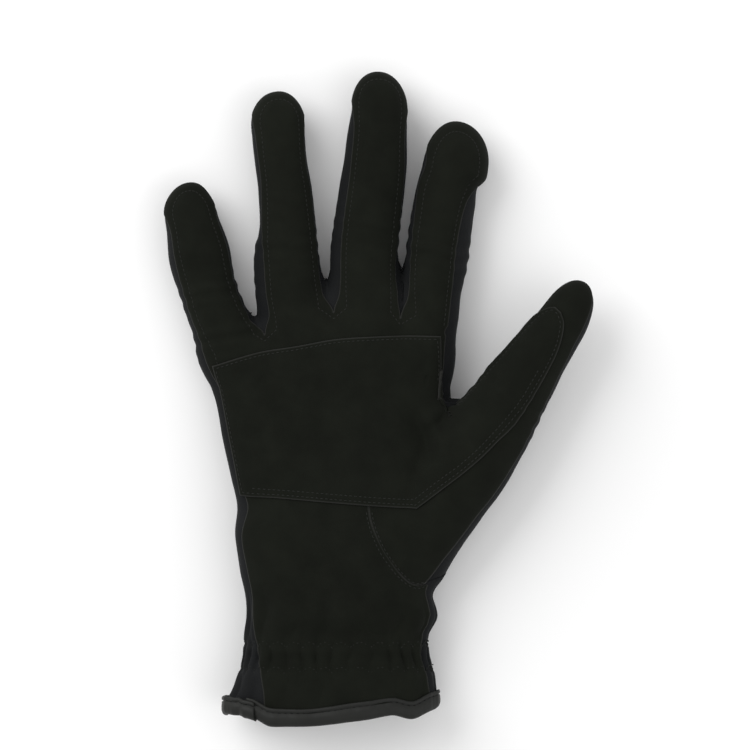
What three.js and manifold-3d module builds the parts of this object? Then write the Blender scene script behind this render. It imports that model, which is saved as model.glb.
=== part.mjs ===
// A right-hand riding glove of black synthetic suede. It lies on its back with the palm up, on the plane z = 0.
// Lengths are in millimetres and angles in degrees. x runs across the palm towards the thumb, y from the hem to
// the fingertips, and z up out of the palm.
//
// The glove is a union of flattened tubes, one for the palm and cuff and one for each digit, made hollow by the
// same tubes drawn in by the thickness of the leather. The leather pieces are cut out of that shell along their
// seams, which are outlines in plan.
import * as THREE from "three";
import { mergeVertices } from "three/addons/utils/BufferGeometryUtils.js";
import Module from "manifold-3d";

const wasm = await Module();
wasm.setup();

// Leather and seams
const wall = 1.4; // suede and stretch cloth
const patchWall = 1.1; // reinforcement on the palm and the thumb
const bindingWall = 1.0; // smooth leather folded over the hem
const bindingHeight = 5.2; // how far up the cuff the binding reaches
const seamGap = 0.35; // between two pieces that meet along a seam
const layerGap = 0.4; // between two layers that lie on each other

// Palm and cuff
const palmLength = 150; // from the hem to the notch between ring and middle finger
const palmThick = 27;
const splitHeight = 11.2; // where the palm leather meets the back round the fingertips
const gatherHeight = 1.1; // ribs that the elastic draws in the cuff
const webCap = 10; // length over which the palm rounds off to the webs between the fingers
const webEdge = 0.16; // thickness left at the end of a web, as a share of the palm's

// Digits. width and thick are measured at the middle of the digit, footing is the room it takes at the knuckles as
// a share of its width, shift moves its root sideways by a share of its width, and lean turns it towards the thumb.
// tipStart and crotch say where its round tip and its free left side begin, as shares of its length.
const digits = {
  little: { length: 59.5, width: 22.6, thick: 19, lean: -14.6, footing: 1.18, shift: 0, tipStart: 0.8, crotch: 0 },
  ring: { length: 85.5, width: 21, thick: 20, lean: -3.6, footing: 1.21, shift: -0.11, tipStart: 0.87, crotch: 0 },
  middle: { length: 89.5, width: 24.4, thick: 20.5, lean: 2.8, footing: 1.0, shift: 0, tipStart: 0.88, crotch: 0 },
  index: { length: 75.5, width: 23.4, thick: 20.5, lean: 7, footing: 0.9, shift: 0.066, tipStart: 0.81, crotch: 0 },
  thumb: { length: 91, width: 24, thick: 21.5, lean: 33, tipStart: 0.79, crotch: 0.3 },
};
const thumbRoot = { x: 0.478, y: 0.56 }; // shares of the palm's width and length
const thumbSplit = 0.83; // height where the thumb's front meets its back, as a share of its thickness

// Each digit from inside the palm to its tip. at is a share of the length; bend, left and right are the sideways
// place of the axis and the two half widths, as shares of the width; under is the height of the underside above
// the surface it lies on, and thick the thickness, as shares of the digit's thickness. cutLeft and cutRight say
// how far out the palm-side leather reaches, as shares of the half width: over 1, it covers the side.
digits.little.rows = [
  { at: -0.3, bend: 0, left: 0.5, right: 0.5, under: -0.03, thick: 1.0, cutLeft: 0.84, cutRight: 0.9 },
  { at: 0, bend: 0, left: 0.52, right: 0.52, under: -0.03, thick: 1.02, cutLeft: 0.84, cutRight: 0.9 },
  { at: 0.18, bend: -0.09, left: 0.5, right: 0.49, under: -0.03, thick: 1.0, cutLeft: 0.84, cutRight: 0.9 },
  { at: 0.36, bend: -0.13, left: 0.475, right: 0.48, under: -0.02, thick: 0.97, cutLeft: 0.82, cutRight: 0.9 },
  { at: 0.57, bend: -0.115, left: 0.505, right: 0.495, under: 0.0, thick: 0.97, cutLeft: 0.8, cutRight: 0.9 },
  { at: 0.76, bend: -0.1, left: 0.46, right: 0.44, under: 0.06, thick: 0.88, cutLeft: 0.84, cutRight: 0.92 },
  { at: 0.9, bend: -0.09, left: 0.425, right: 0.4, under: 0.12, thick: 0.8, cutLeft: 1.1, cutRight: 1.1 },
  { at: 1, bend: -0.05, left: 0.42, right: 0.4, under: 0.14, thick: 0.78, cutLeft: 1.2, cutRight: 1.2 },
];
digits.ring.rows = [
  { at: -0.25, bend: 0, left: 0.55, right: 0.58, under: -0.03, thick: 1.02, cutLeft: 0.64, cutRight: 0.9 },
  { at: 0, bend: 0, left: 0.6, right: 0.62, under: -0.03, thick: 1.02, cutLeft: 0.64, cutRight: 0.9 },
  { at: 0.12, bend: 0, left: 0.66, right: 0.59, under: -0.03, thick: 1.02, cutLeft: 0.66, cutRight: 0.9 },
  { at: 0.33, bend: 0, left: 0.6, right: 0.52, under: -0.02, thick: 1.0, cutLeft: 0.72, cutRight: 0.92 },
  { at: 0.43, bend: 0, left: 0.48, right: 0.51, under: -0.02, thick: 0.97, cutLeft: 0.86, cutRight: 0.92 },
  { at: 0.58, bend: 0, left: 0.48, right: 0.475, under: -0.01, thick: 0.95, cutLeft: 0.84, cutRight: 0.92 },
  { at: 0.7, bend: 0, left: 0.51, right: 0.44, under: 0.02, thick: 0.93, cutLeft: 0.82, cutRight: 0.9 },
  { at: 0.86, bend: 0, left: 0.51, right: 0.47, under: 0.09, thick: 0.86, cutLeft: 0.9, cutRight: 0.95 },
  { at: 1, bend: 0, left: 0.5, right: 0.46, under: 0.15, thick: 0.76, cutLeft: 1.2, cutRight: 1.2 },
];
digits.middle.rows = [
  { at: -0.25, bend: 0, left: 0.5, right: 0.5, under: -0.03, thick: 1.02, cutLeft: 0.7, cutRight: 0.9 },
  { at: 0, bend: -0.01, left: 0.53, right: 0.52, under: -0.03, thick: 1.02, cutLeft: 0.7, cutRight: 0.9 },
  { at: 0.12, bend: -0.04, left: 0.54, right: 0.52, under: -0.03, thick: 1.02, cutLeft: 0.7, cutRight: 0.9 },
  { at: 0.29, bend: -0.075, left: 0.53, right: 0.52, under: -0.03, thick: 1.0, cutLeft: 0.68, cutRight: 0.92 },
  { at: 0.53, bend: -0.02, left: 0.505, right: 0.495, under: -0.01, thick: 0.96, cutLeft: 0.7, cutRight: 0.92 },
  { at: 0.77, bend: 0.02, left: 0.45, right: 0.45, under: 0.05, thick: 0.92, cutLeft: 0.78, cutRight: 0.9 },
  { at: 0.88, bend: 0.035, left: 0.415, right: 0.43, under: 0.11, thick: 0.84, cutLeft: 1.0, cutRight: 1.05 },
  { at: 1, bend: 0, left: 0.4, right: 0.42, under: 0.16, thick: 0.76, cutLeft: 1.2, cutRight: 1.2 },
];
digits.index.rows = [
  { at: -0.3, bend: 0, left: 0.42, right: 0.42, under: -0.03, thick: 1.0, cutLeft: 0.8, cutRight: 0.55 },
  { at: 0, bend: -0.02, left: 0.44, right: 0.44, under: -0.03, thick: 1.02, cutLeft: 0.8, cutRight: 0.45 },
  { at: 0.16, bend: -0.08, left: 0.45, right: 0.465, under: -0.03, thick: 1.02, cutLeft: 0.8, cutRight: 0.6 },
  { at: 0.37, bend: -0.075, left: 0.5, right: 0.505, under: -0.03, thick: 1.0, cutLeft: 0.8, cutRight: 0.55 },
  { at: 0.6, bend: -0.043, left: 0.495, right: 0.495, under: -0.01, thick: 0.96, cutLeft: 0.88, cutRight: 0.66 },
  { at: 0.68, bend: -0.02, left: 0.48, right: 0.48, under: 0.02, thick: 0.96, cutLeft: 0.92, cutRight: 1.05 },
  { at: 0.77, bend: 0.035, left: 0.5, right: 0.52, under: 0.05, thick: 0.96, cutLeft: 0.9, cutRight: 1.15 },
  { at: 0.86, bend: 0.035, left: 0.5, right: 0.5, under: 0.1, thick: 0.88, cutLeft: 1.0, cutRight: 1.2 },
  { at: 1, bend: 0, left: 0.48, right: 0.48, under: 0.15, thick: 0.78, cutLeft: 1.2, cutRight: 1.2 },
];
digits.thumb.rows = [
  { at: -0.42, bend: 0.02, left: 0.3, right: 0.5, under: 0.08, thick: 0.9, cutLeft: 1.2, cutRight: 0.88 },
  { at: -0.12, bend: 0, left: 0.5, right: 0.6, under: 0.06, thick: 1.2, cutLeft: 1.2, cutRight: 0.88 },
  { at: 0.13, bend: 0, left: 0.66, right: 0.66, under: 0.1, thick: 1.26, cutLeft: 1.2, cutRight: 0.88 },
  { at: 0.36, bend: 0, left: 0.6, right: 0.59, under: 0.2, thick: 1.14, cutLeft: 1.2, cutRight: 0.88 },
  { at: 0.5, bend: 0, left: 0.535, right: 0.52, under: 0.28, thick: 1.03, cutLeft: 1.2, cutRight: 0.88 },
  { at: 0.66, bend: 0, left: 0.47, right: 0.455, under: 0.33, thick: 0.98, cutLeft: 1.2, cutRight: 0.86 },
  { at: 0.79, bend: 0.02, left: 0.4, right: 0.4, under: 0.36, thick: 0.9, cutLeft: 1.2, cutRight: 0.8 },
  { at: 1, bend: 0, left: 0.4, right: 0.4, under: 0.4, thick: 0.8, cutLeft: 1.2, cutRight: 0.8 },
];

// Palm and cuff from the hem to the knuckles. at is a share of the palm's length; left and right are the edges, as
// shares of the palm's width from its middle; under and thick are shares of the palm's thickness. cutLeft and
// cutRight are the widths of the strips at the edges where the back wraps round, as shares of the palm's width.
const palmRows = [
  { at: -0.04, left: -0.385, right: 0.424, under: 0.05, thick: 0.95, cutLeft: 0.145, cutRight: 0.025 },
  { at: 0.022, left: -0.372, right: 0.42, under: 0.05, thick: 0.95, cutLeft: 0.142, cutRight: 0.025 },
  { at: 0.06, left: -0.35, right: 0.415, under: 0.04, thick: 0.94, cutLeft: 0.12, cutRight: 0.025 },
  { at: 0.104, left: -0.33, right: 0.408, under: 0.02, thick: 0.92, cutLeft: 0.09, cutRight: 0.025 },
  { at: 0.15, left: -0.308, right: 0.39, under: 0.0, thick: 0.9, cutLeft: 0.06, cutRight: 0.025 },
  { at: 0.178, left: -0.308, right: 0.39, under: -0.02, thick: 0.94, cutLeft: 0.055, cutRight: 0.025 },
  { at: 0.207, left: -0.306, right: 0.392, under: -0.02, thick: 0.92, cutLeft: 0.045, cutRight: 0.025 },
  { at: 0.252, left: -0.298, right: 0.422, under: -0.04, thick: 1.0, cutLeft: 0.03, cutRight: 0.025 },
  { at: 0.303, left: -0.302, right: 0.405, under: -0.04, thick: 1.02, cutLeft: 0.03, cutRight: 0.025 },
  { at: 0.37, left: -0.322, right: 0.395, under: -0.05, thick: 1.06, cutLeft: 0.03, cutRight: 0.025 },
  { at: 0.451, left: -0.338, right: 0.4, under: -0.06, thick: 1.1, cutLeft: 0.03, cutRight: 0.03 },
  { at: 0.525, left: -0.328, right: 0.42, under: -0.06, thick: 1.08, cutLeft: 0.035, cutRight: 0.03 },
  { at: 0.6, left: -0.354, right: 0.44, under: -0.06, thick: 1.04, cutLeft: 0.03, cutRight: 0.03 },
  { at: 0.7, left: -0.381, right: 0.462, under: -0.06, thick: 0.98, cutLeft: 0.03, cutRight: 0.03 },
  { at: 0.8, left: -0.424, right: 0.479, under: -0.06, thick: 0.96, cutLeft: 0.03, cutRight: 0.04 },
  { at: 0.92, left: -0.488, right: 0.487, under: -0.04, thick: 0.92, cutLeft: 0.03, cutRight: 0.05 },
  { at: 1.1, left: -0.51, right: 0.49, under: -0.04, thick: 0.84, cutLeft: 0.03, cutRight: 0.08 },
];

// Across the knuckles from the little finger's side: height of the notch in the palm leather, of the notch in the
// leather of the back and of the web between them, as shares of the palm's length
const knuckles = [
  { notch: 0.93, backNotch: 0.96, web: 0.95 },
  { notch: 0.945, backNotch: 0.97, web: 0.99 },
  { notch: 1.0, backNotch: 1.03, web: 1.07 },
  { notch: 0.986, backNotch: 1.04, web: 1.093 },
  { notch: 0.955, backNotch: 0.98, web: 0.96 },
];

// Height of the hem across the cuff, as shares of the palm's width and length
const hemRows = [
  { at: -0.38, y: 0.02 },
  { at: -0.27, y: 0.015 },
  { at: -0.2, y: -0.003 },
  { at: -0.04, y: -0.003 },
  { at: 0.1, y: 0.004 },
  { at: 0.25, y: 0.021 },
  { at: 0.33, y: 0.015 },
  { at: 0.42, y: 0.034 },
];

// Where the elastic draws ribs in the cuff: full is 1 between its two rows of stitches
const gatherRows = [
  { at: 0, full: 0.15 },
  { at: 0.06, full: 0.3 },
  { at: 0.13, full: 0.9 },
  { at: 0.19, full: 1 },
  { at: 0.25, full: 0.3 },
  { at: 0.31, full: 0 },
  { at: 1.1, full: 0 },
];

// The seam that sets the thumb into the palm, from the wrist's edge to the crotch of the thumb, as shares of the
// palm's width and length. The hidden seam on the back has the same ends.
const thumbSeamFront = [
  { x: 0.45, y: 0.338 },
  { x: 0.356, y: 0.329 },
  { x: 0.303, y: 0.344 },
  { x: 0.254, y: 0.38 },
  { x: 0.205, y: 0.432 },
  { x: 0.168, y: 0.51 },
  { x: 0.18, y: 0.6 },
  { x: 0.27, y: 0.69 },
  { x: 0.38, y: 0.752 },
  { x: 0.442, y: 0.785 },
];
const thumbSeamBack = [
  { x: 0.45, y: 0.338 },
  { x: 0.38, y: 0.36 },
  { x: 0.33, y: 0.45 },
  { x: 0.32, y: 0.56 },
  { x: 0.37, y: 0.68 },
  { x: 0.442, y: 0.785 },
];

// Outline of the patch: across the palm below the knuckles, round the thumb's crotch, up the thumb to its round
// end and back along the lower edge. Shares of the palm's width and length.
const patchOutline = [
  { x: -0.425, y: 0.868 },
  { x: -0.265, y: 0.898 },
  { x: -0.106, y: 0.916 },
  { x: 0.06, y: 0.934 },
  { x: 0.284, y: 0.942 },
  { x: 0.425, y: 0.942 },
  { x: 0.437, y: 0.87 },
  { x: 0.452, y: 0.79 },
  { x: 0.5, y: 0.765 },
  { x: 0.6, y: 0.835 },
  { x: 0.71, y: 0.925 },
  { x: 0.79, y: 0.985 },
  { x: 0.84, y: 1.008 },
  { x: 0.885, y: 1.0 },
  { x: 0.898, y: 0.97 },
  { x: 0.887, y: 0.93 },
  { x: 0.857, y: 0.883 },
  { x: 0.807, y: 0.824 },
  { x: 0.735, y: 0.752 },
  { x: 0.591, y: 0.646 },
  { x: 0.432, y: 0.56 },
  { x: 0.35, y: 0.518 },
  { x: 0.133, y: 0.527 },
  { x: -0.106, y: 0.54 },
  { x: -0.312, y: 0.552 },
  { x: -0.33, y: 0.597 },
  { x: -0.352, y: 0.651 },
  { x: -0.37, y: 0.742 },
  { x: -0.395, y: 0.802 },
];

// Folds and hollows of the palm side. x and y are shares of the palm's width and length, turn is the direction of
// the fold in degrees from the x axis, long and wide are half sizes and high is the height, in millimetres.
const folds = [
  { x: 0.42, y: 0.74, turn: -62, long: 13, wide: 4.5, high: 2.2 },
  { x: 0.33, y: 0.77, turn: -50, long: 13, wide: 5.5, high: -2.2 },
  { x: -0.26, y: 0.53, turn: 20, long: 11, wide: 5, high: -1.2 },
  { x: 0.02, y: 0.7, turn: 78, long: 34, wide: 17, high: -1.8 },
  { x: 0.32, y: 0.48, turn: 52, long: 26, wide: 10, high: 1.6 },
  { x: 0.1, y: 0.33, turn: 84, long: 18, wide: 7, high: 1.3 },
  { x: -0.14, y: 0.3, turn: 96, long: 16, wide: 6, high: 1.1 },
];

// Number of sides and sections of the tubes. The outer palm has more, for the ribs.
const palmSides = { outer: 32, inner: 12 };
const palmSections = 17;
const digitSides = { outer: 12, inner: 8 };
const digitSections = { outer: 7, inner: 5 };
const tipSections = 3;

const palmPower = 2.3; // the palm's section is an ellipse with squarer shoulders
const tipPower = 2.5; // and so is the plan of a fingertip
const seamStations = [0.06, 0.22, 0.4, 0.56, 0.68, 0.78, 0.88];
const edgeStations = Array.from({ length: 15 }, (_, i) => i / 14);
const stripStations = [0.1, 0.4, 0.65, 0.9];
const sharpest = 0.3; // limit on how far a sharp corner of an outline moves
const seamSteps = 14;
const patchSteps = 36;
const backReach = 0.86; // how far out the leather of a finger's back reaches, as a share of its half width
const flare = 1.35; // how far an outline runs past the edge of a digit, as a share of its size
const [suedeColour, clothColour, bindingColour] = ["#1d1d1c", "#202226", "#34353a"];
const [suedeRoughness, clothRoughness, bindingRoughness] = [0.93, 0.85, 0.5];
const rad = THREE.MathUtils.degToRad;
const fingerNames = ["little", "ring", "middle", "index"];
const palmWidth = fingerNames.reduce((sum, name) => sum + digits[name].width * digits[name].footing, 0);
const palmSection = (palmLength - webCap) / palmSections;
const planReach = 0.6 * palmWidth; // how far outlines run past the edges of the glove
const topHeight = 2 * palmThick; // above the highest point of the glove
const onPalm = ({ x, y }) => new THREE.Vector2(x * palmWidth, y * palmLength);

// Every named column of a table at one place along it, by a cubic through the rows
function sample(rows, at) {
  const last = rows.length - 1;
  const t = THREE.MathUtils.clamp(at, rows[0].at, rows[last].at);
  let i = 0;
  while (i < last - 1 && rows[i + 1].at < t) i += 1;
  const [a, b] = [rows[i], rows[i + 1]];
  const [before, after] = [rows[Math.max(i - 1, 0)], rows[Math.min(i + 2, last)]];
  const span = b.at - a.at;
  const s = (t - a.at) / span;
  const out = {};
  for (const name of Object.keys(a)) {
    const slopeA = ((b[name] - before[name]) / (b.at - before.at)) * span;
    const slopeB = ((after[name] - a[name]) / (after.at - a.at)) * span;
    out[name] =
      (2 * s ** 3 - 3 * s ** 2 + 1) * a[name] + (s ** 3 - 2 * s ** 2 + s) * slopeA +
      (3 * s ** 2 - 2 * s ** 3) * b[name] + (s ** 3 - s ** 2) * slopeB;
  }
  return out;
}

// The knuckle line as a table over x, and the root and directions of each digit
const knuckleRows = [{ at: -palmWidth / 2, ...knuckles[0] }];
fingerNames.forEach((name, i) => {
  const { width, footing } = digits[name];
  knuckleRows.push({ at: knuckleRows[i].at + width * footing, ...knuckles[i + 1] });
});
for (const [name, digit] of Object.entries(digits)) {
  const i = fingerNames.indexOf(name);
  digit.along = new THREE.Vector2(Math.sin(rad(digit.lean)), Math.cos(rad(digit.lean)));
  digit.across = new THREE.Vector2(digit.along.y, -digit.along.x);
  if (i < 0) {
    digit.root = onPalm(thumbRoot);
  } else {
    const [a, b] = [knuckleRows[i], knuckleRows[i + 1]];
    const shift = digit.shift * digit.width;
    digit.root = new THREE.Vector2((a.at + b.at) / 2 + shift, ((a.notch + b.notch) / 2) * palmLength);
  }
}

// Point in plan at a share of a digit's length and a distance to the side
function onDigit(digit, at, side) {
  return digit.root.clone().addScaledVector(digit.along, at * digit.length).addScaledVector(digit.across, side);
}

// Height of the folds over the palm at a point in plan
function foldHeight(x, y) {
  let height = 0;
  for (const fold of folds) {
    const centre = onPalm(fold);
    const [c, s] = [Math.cos(rad(fold.turn)), Math.sin(rad(fold.turn))];
    const along = ((x - centre.x) * c + (y - centre.y) * s) / fold.long;
    const across = ((y - centre.y) * c - (x - centre.x) * s) / fold.wide;
    height += fold.high * Math.exp(-along * along - across * across);
  }
  return height;
}

// Height of a point of a tube, with the folds on its upper half and its underside flattened where it rests
function settle(x, y, z, upward, inset) {
  const folded = z + foldHeight(x, y) * Math.sqrt(Math.max(upward, 0));
  return Math.max(folded, inset, 0);
}

// One section of a digit, drawn in by inset on every side. shrink rounds the tip.
function digitRing(digit, at, inset, sides, shrink = 1) {
  const row = sample(digit.rows, at);
  const depth = (row.thick * digit.thick) / 2;
  const middle = row.under * digit.thick + depth;
  const ring = [];
  for (let j = 0; j < sides; j += 1) {
    const angle = (2 * Math.PI * j) / sides;
    const half = (Math.sin(angle) < 0 ? row.left : row.right) * digit.width - inset;
    const plan = onDigit(digit, at, row.bend * digit.width + half * shrink * Math.sin(angle));
    const z = middle + (depth - inset) * shrink * Math.cos(angle);
    ring.push(new THREE.Vector3(plan.x, plan.y, settle(plan.x, plan.y, z, Math.cos(angle), inset)));
  }
  return ring;
}

// Tube of a digit: even sections up to where the tip starts, then a round tip
function digitTube(digit, inset, sides, sections) {
  const rings = [];
  const start = digit.rows[0].at;
  for (let i = 0; i < sections; i += 1) {
    const at = start + ((digit.tipStart - start) * i) / sections;
    rings.push(digitRing(digit, at, inset, sides));
  }
  const tip = 1 - inset / digit.length;
  for (let i = 0; i <= tipSections; i += 1) {
    const turn = (i / (tipSections + 0.35)) * (Math.PI / 2);
    const at = digit.tipStart + (tip - digit.tipStart) * Math.sin(turn) ** (2 / tipPower);
    rings.push(digitRing(digit, at, inset, sides, Math.cos(turn) ** (2 / tipPower)));
  }
  return loft(rings);
}

// Place along y of a share of the palm's length: it follows the hem at one end and the webs at the other
function palmY(at, x) {
  const hem = sample(hemRows, x / palmWidth).y * Math.max(0, 1 - at * 4) ** 2;
  const web = (sample(knuckleRows, x).web - 1) * Math.max(0, at) ** 3;
  return (at + hem + web) * palmLength;
}

// One section of the palm and cuff. shift moves it along y.
function palmRing(at, inset, sides, shrink = 1, shift = 0) {
  const row = sample(palmRows, at);
  const [left, right] = [row.left * palmWidth + inset, row.right * palmWidth - inset];
  const depth = (row.thick * palmThick) / 2;
  const middle = row.under * palmThick + depth;
  const gather = gatherHeight * sample(gatherRows, at).full;
  const ring = [];
  for (let j = 0; j < sides; j += 1) {
    const angle = (2 * Math.PI * j) / sides;
    const [u, v] = [Math.sin(angle), Math.cos(angle)];
    const rib = inset <= 0 && j % 2 === 0 ? gather : 0;
    const x = (left + right) / 2 + ((right - left) / 2) * Math.sign(u) * Math.abs(u) ** (2 / palmPower);
    const rise = (depth - inset) * shrink * Math.sign(v) * Math.abs(v) ** (2 / palmPower);
    const y = palmY(at, x) + shift;
    ring.push(new THREE.Vector3(x + rib * u, y, settle(x, y, middle + rise + rib * v, v, inset)));
  }
  return ring;
}

// Tube of the palm and cuff. The inner one starts beyond the hem, so that the cuff is open.
function palmTube(inset, sides) {
  const rings = [];
  const capStart = 1 - webCap / palmLength;
  if (inset > 0) rings.push(palmRing(0, inset, sides, 1, -webCap));
  for (let i = 0; i < palmSections; i += 1) rings.push(palmRing((i * palmSection) / palmLength, inset, sides));
  const end = 1 - inset / palmLength;
  for (let i = 0; i <= tipSections; i += 1) {
    const turn = (i / tipSections) * (Math.PI / 2);
    const shrink = Math.max(Math.cos(turn), webEdge);
    rings.push(palmRing(capStart + (end - capStart) * Math.sin(turn), inset, sides, shrink));
  }
  return loft(rings);
}

// A solid from rings of equally many points, closed by a fan at each end
function loft(rings) {
  const count = rings[0].length;
  const points = rings.flat();
  const triangles = [];
  for (let i = 0; i + 1 < rings.length; i += 1) {
    for (let j = 0; j < count; j += 1) {
      const a = i * count + j;
      const b = i * count + ((j + 1) % count);
      triangles.push(a, b, b + count, a, b + count, a + count);
    }
  }
  for (const [ring, flip] of [[0, 0], [rings.length - 1, 1]]) {
    const centre = rings[ring].reduce((sum, p) => sum.add(p), new THREE.Vector3()).divideScalar(count);
    points.push(centre);
    for (let j = 0; j < count; j += 1) {
      const a = ring * count + j;
      const b = ring * count + ((j + 1) % count);
      triangles.push(points.length - 1, flip ? a : b, flip ? b : a);
    }
  }
  const vertProperties = new Float32Array(points.flatMap((p) => p.toArray()));
  const solid = new wasm.Manifold(new wasm.Mesh({ numProp: 3, vertProperties, triVerts: new Uint32Array(triangles) }));
  return solid;
}

// A solid over a plan outline, between two heights
function prism(outline, bottom, top) {
  const geometry = new THREE.ExtrudeGeometry(new THREE.Shape(outline), { depth: top - bottom, bevelEnabled: false });
  geometry.translate(0, 0, bottom);
  geometry.deleteAttribute("normal");
  geometry.deleteAttribute("uv");
  const merged = mergeVertices(geometry, 1e-4);
  const vertProperties = new Float32Array(merged.attributes.position.array);
  return new wasm.Manifold(new wasm.Mesh({ numProp: 3, vertProperties, triVerts: new Uint32Array(merged.index.array) }));
}

// Smooth curve through a short list of plan points
function smooth(points, count) {
  return new THREE.SplineCurve(points.map(onPalm)).getSpacedPoints(count);
}

const union = (solids) => wasm.Manifold.union(solids);

// The whole glove as one solid, drawn in by inset
function gloveSolid(inset) {
  const side = inset > 0 ? "inner" : "outer";
  const tubes = Object.values(digits).map((digit) => digitTube(digit, inset, digitSides[side], digitSections[side]));
  return union([palmTube(inset, palmSides[side]), ...tubes]);
}

// A plan outline moved outwards by a gap: each corner goes along the mean of the normals of its two sides
function grown(outline, gap) {
  const sign = Math.sign(THREE.ShapeUtils.area(outline));
  return outline.map((point, i) => {
    const before = outline[(i + outline.length - 1) % outline.length];
    const after = outline[(i + 1) % outline.length];
    const [a, b] = [[before, point], [point, after]].map(([from, to]) => to.clone().sub(from).normalize());
    const mean = new THREE.Vector2(a.y + b.y, -a.x - b.x);
    return point.clone().addScaledVector(mean, (sign * gap) / Math.max(1 + a.dot(b), sharpest));
  });
}

// Outline of the leather on one digit: up its left cut line, round the tip and down the right one
function cutLines(digit, cutOf) {
  const [left, right] = [[], []];
  for (const at of seamStations) {
    const row = sample(digit.rows, at);
    const cut = cutOf(row);
    if (at > digit.crotch) left.push(onDigit(digit, at, (row.bend - row.left * cut.left) * digit.width));
    right.unshift(onDigit(digit, at, (row.bend + row.right * cut.right) * digit.width));
  }
  const beyond = [-flare, flare].map((side) => onDigit(digit, flare, (side * digit.width) / 2));
  return [...left, ...beyond, ...right];
}
const frontCut = (row) => ({ left: row.cutLeft, right: row.cutRight });
const backCut = () => ({ left: backReach, right: backReach });
const fullCut = () => ({ left: flare, right: flare });

// Outline of the four fingers, with the notches between them
function combOutline(cutOf, notch) {
  return fingerNames.flatMap((name, i) => {
    const points = cutLines(digits[name], cutOf);
    if (i === fingerNames.length - 1) return points;
    const row = knuckleRows[i + 1];
    return [...points, new THREE.Vector2(row.at, row[notch] * palmLength)];
  });
}

// Edge of the palm leather up one side of the palm. sign is -1 on the little finger's side and 1 on the thumb's.
function palmEdge(sign, from, to) {
  return edgeStations.filter((at) => at >= from && at <= to).map((at) => {
    const row = sample(palmRows, at);
    const x = sign < 0 ? row.left + row.cutLeft : row.right - row.cutRight;
    return new THREE.Vector2(x * palmWidth, at * palmLength);
  });
}

// Outline of the palm leather with the finger fronts
function palmOutline() {
  const [wrist, crotch] = [thumbSeamFront[0].y, thumbSeamFront[thumbSeamFront.length - 1].y];
  const leftEdge = palmEdge(-1, 0, knuckles[0].notch);
  const rightEdge = palmEdge(1, 0, wrist).reverse();
  return [
    new THREE.Vector2(leftEdge[0].x, -planReach),
    ...leftEdge,
    ...combOutline(frontCut, "notch"),
    ...palmEdge(1, crotch, knuckles[fingerNames.length].notch).reverse(),
    ...smooth(thumbSeamFront, seamSteps).reverse(),
    ...rightEdge,
    new THREE.Vector2(rightEdge[rightEdge.length - 1].x, -planReach),
  ];
}

// Outline of the fingers' backs, and of the palm's back beneath them
function backOutline() {
  const low = knuckles[0].backNotch * palmLength;
  return [
    new THREE.Vector2(-planReach, -planReach),
    new THREE.Vector2(-planReach, low),
    ...combOutline(backCut, "backNotch"),
    new THREE.Vector2(planReach, low),
    new THREE.Vector2(planReach, -planReach),
  ];
}

// Outline of the thumb's leather beyond a seam
const thumbOutline = (seam, cutOf) => [...smooth(seam, seamSteps), ...cutLines(digits.thumb, cutOf)];

// Outline of the space that the side strip between two fingers can take: between the fingers' middle lines
function betweenOutline(i) {
  const [a, b] = [digits[fingerNames[i]], digits[fingerNames[i + 1]]];
  const row = knuckleRows[i + 1];
  const middleLine = (digit) => stripStations.map((at) => onDigit(digit, at, 0));
  return [
    new THREE.Vector2(row.at, row.notch * palmLength - webCap),
    ...middleLine(b),
    ...middleLine(a).reverse(),
  ];
}

// A named piece of the glove. An outline can leave a sliver past the edge of a curved piece, which is trimmed off.
function piece(name, solid, colour, roughness) {
  const [main] = solid.decompose().sort((a, b) => b.volume() - a.volume());
  const { vertProperties, triVerts } = main.getMesh();
  const geometry = new THREE.BufferGeometry();
  geometry.setAttribute("position", new THREE.BufferAttribute(vertProperties, 3));
  geometry.setIndex(new THREE.BufferAttribute(triVerts, 1));
  const material = new THREE.MeshStandardMaterial({ color: colour, roughness, metalness: 0, flatShading: true });
  const mesh = new THREE.Mesh(geometry, material);
  mesh.name = name;
  return mesh;
}

const shell = gloveSolid(0).subtract(gloveSolid(wall));
const thumbLow = thumbSplit * digits.thumb.thick;
const front = (gap) => prism(grown(palmOutline(), gap), splitHeight - gap, topHeight);
const backs = (gap) => prism(grown(backOutline(), gap), -webCap, splitHeight - seamGap + gap);
const thumbFront = (gap) => prism(grown(thumbOutline(thumbSeamFront, frontCut), gap), thumbLow - gap, topHeight);
const thumbWhole = (gap) => prism(grown(thumbOutline(thumbSeamBack, fullCut), gap), -webCap, topHeight);
const between = (i, gap) => prism(grown(betweenOutline(i), gap), -webCap, topHeight);

const glove = new THREE.Group();
const add = (name, solid, colour, roughness) => glove.add(piece(name, solid, colour, roughness));

add("palm_panel", shell.intersect(front(0)), suedeColour, suedeRoughness);
add("thumb_front", shell.intersect(thumbFront(0)).subtract(front(seamGap)), suedeColour, suedeRoughness);
const thumbBack = shell.intersect(thumbWhole(0)).subtract(thumbFront(seamGap)).subtract(front(seamGap));
add("thumb_back", thumbBack, clothColour, clothRoughness);

let rest = shell.subtract(front(seamGap)).subtract(thumbWhole(seamGap)).subtract(thumbFront(seamGap));
for (let i = 0; i + 1 < fingerNames.length; i += 1) {
  const name = `fourchette_${fingerNames[i]}_${fingerNames[i + 1]}`;
  const strip = shell.intersect(between(i, 0)).subtract(front(seamGap)).subtract(backs(seamGap));
  add(name, strip, clothColour, clothRoughness);
  rest = rest.subtract(between(i, seamGap).subtract(backs(0)));
}
add("back_panel", rest, clothColour, clothRoughness);

const layer = gloveSolid(-layerGap - patchWall).subtract(gloveSolid(-layerGap));
const patch = layer.intersect(prism(smooth([...patchOutline, patchOutline[0]], patchSteps), splitHeight, topHeight));
add("palm_patch", patch, suedeColour, suedeRoughness);

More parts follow.
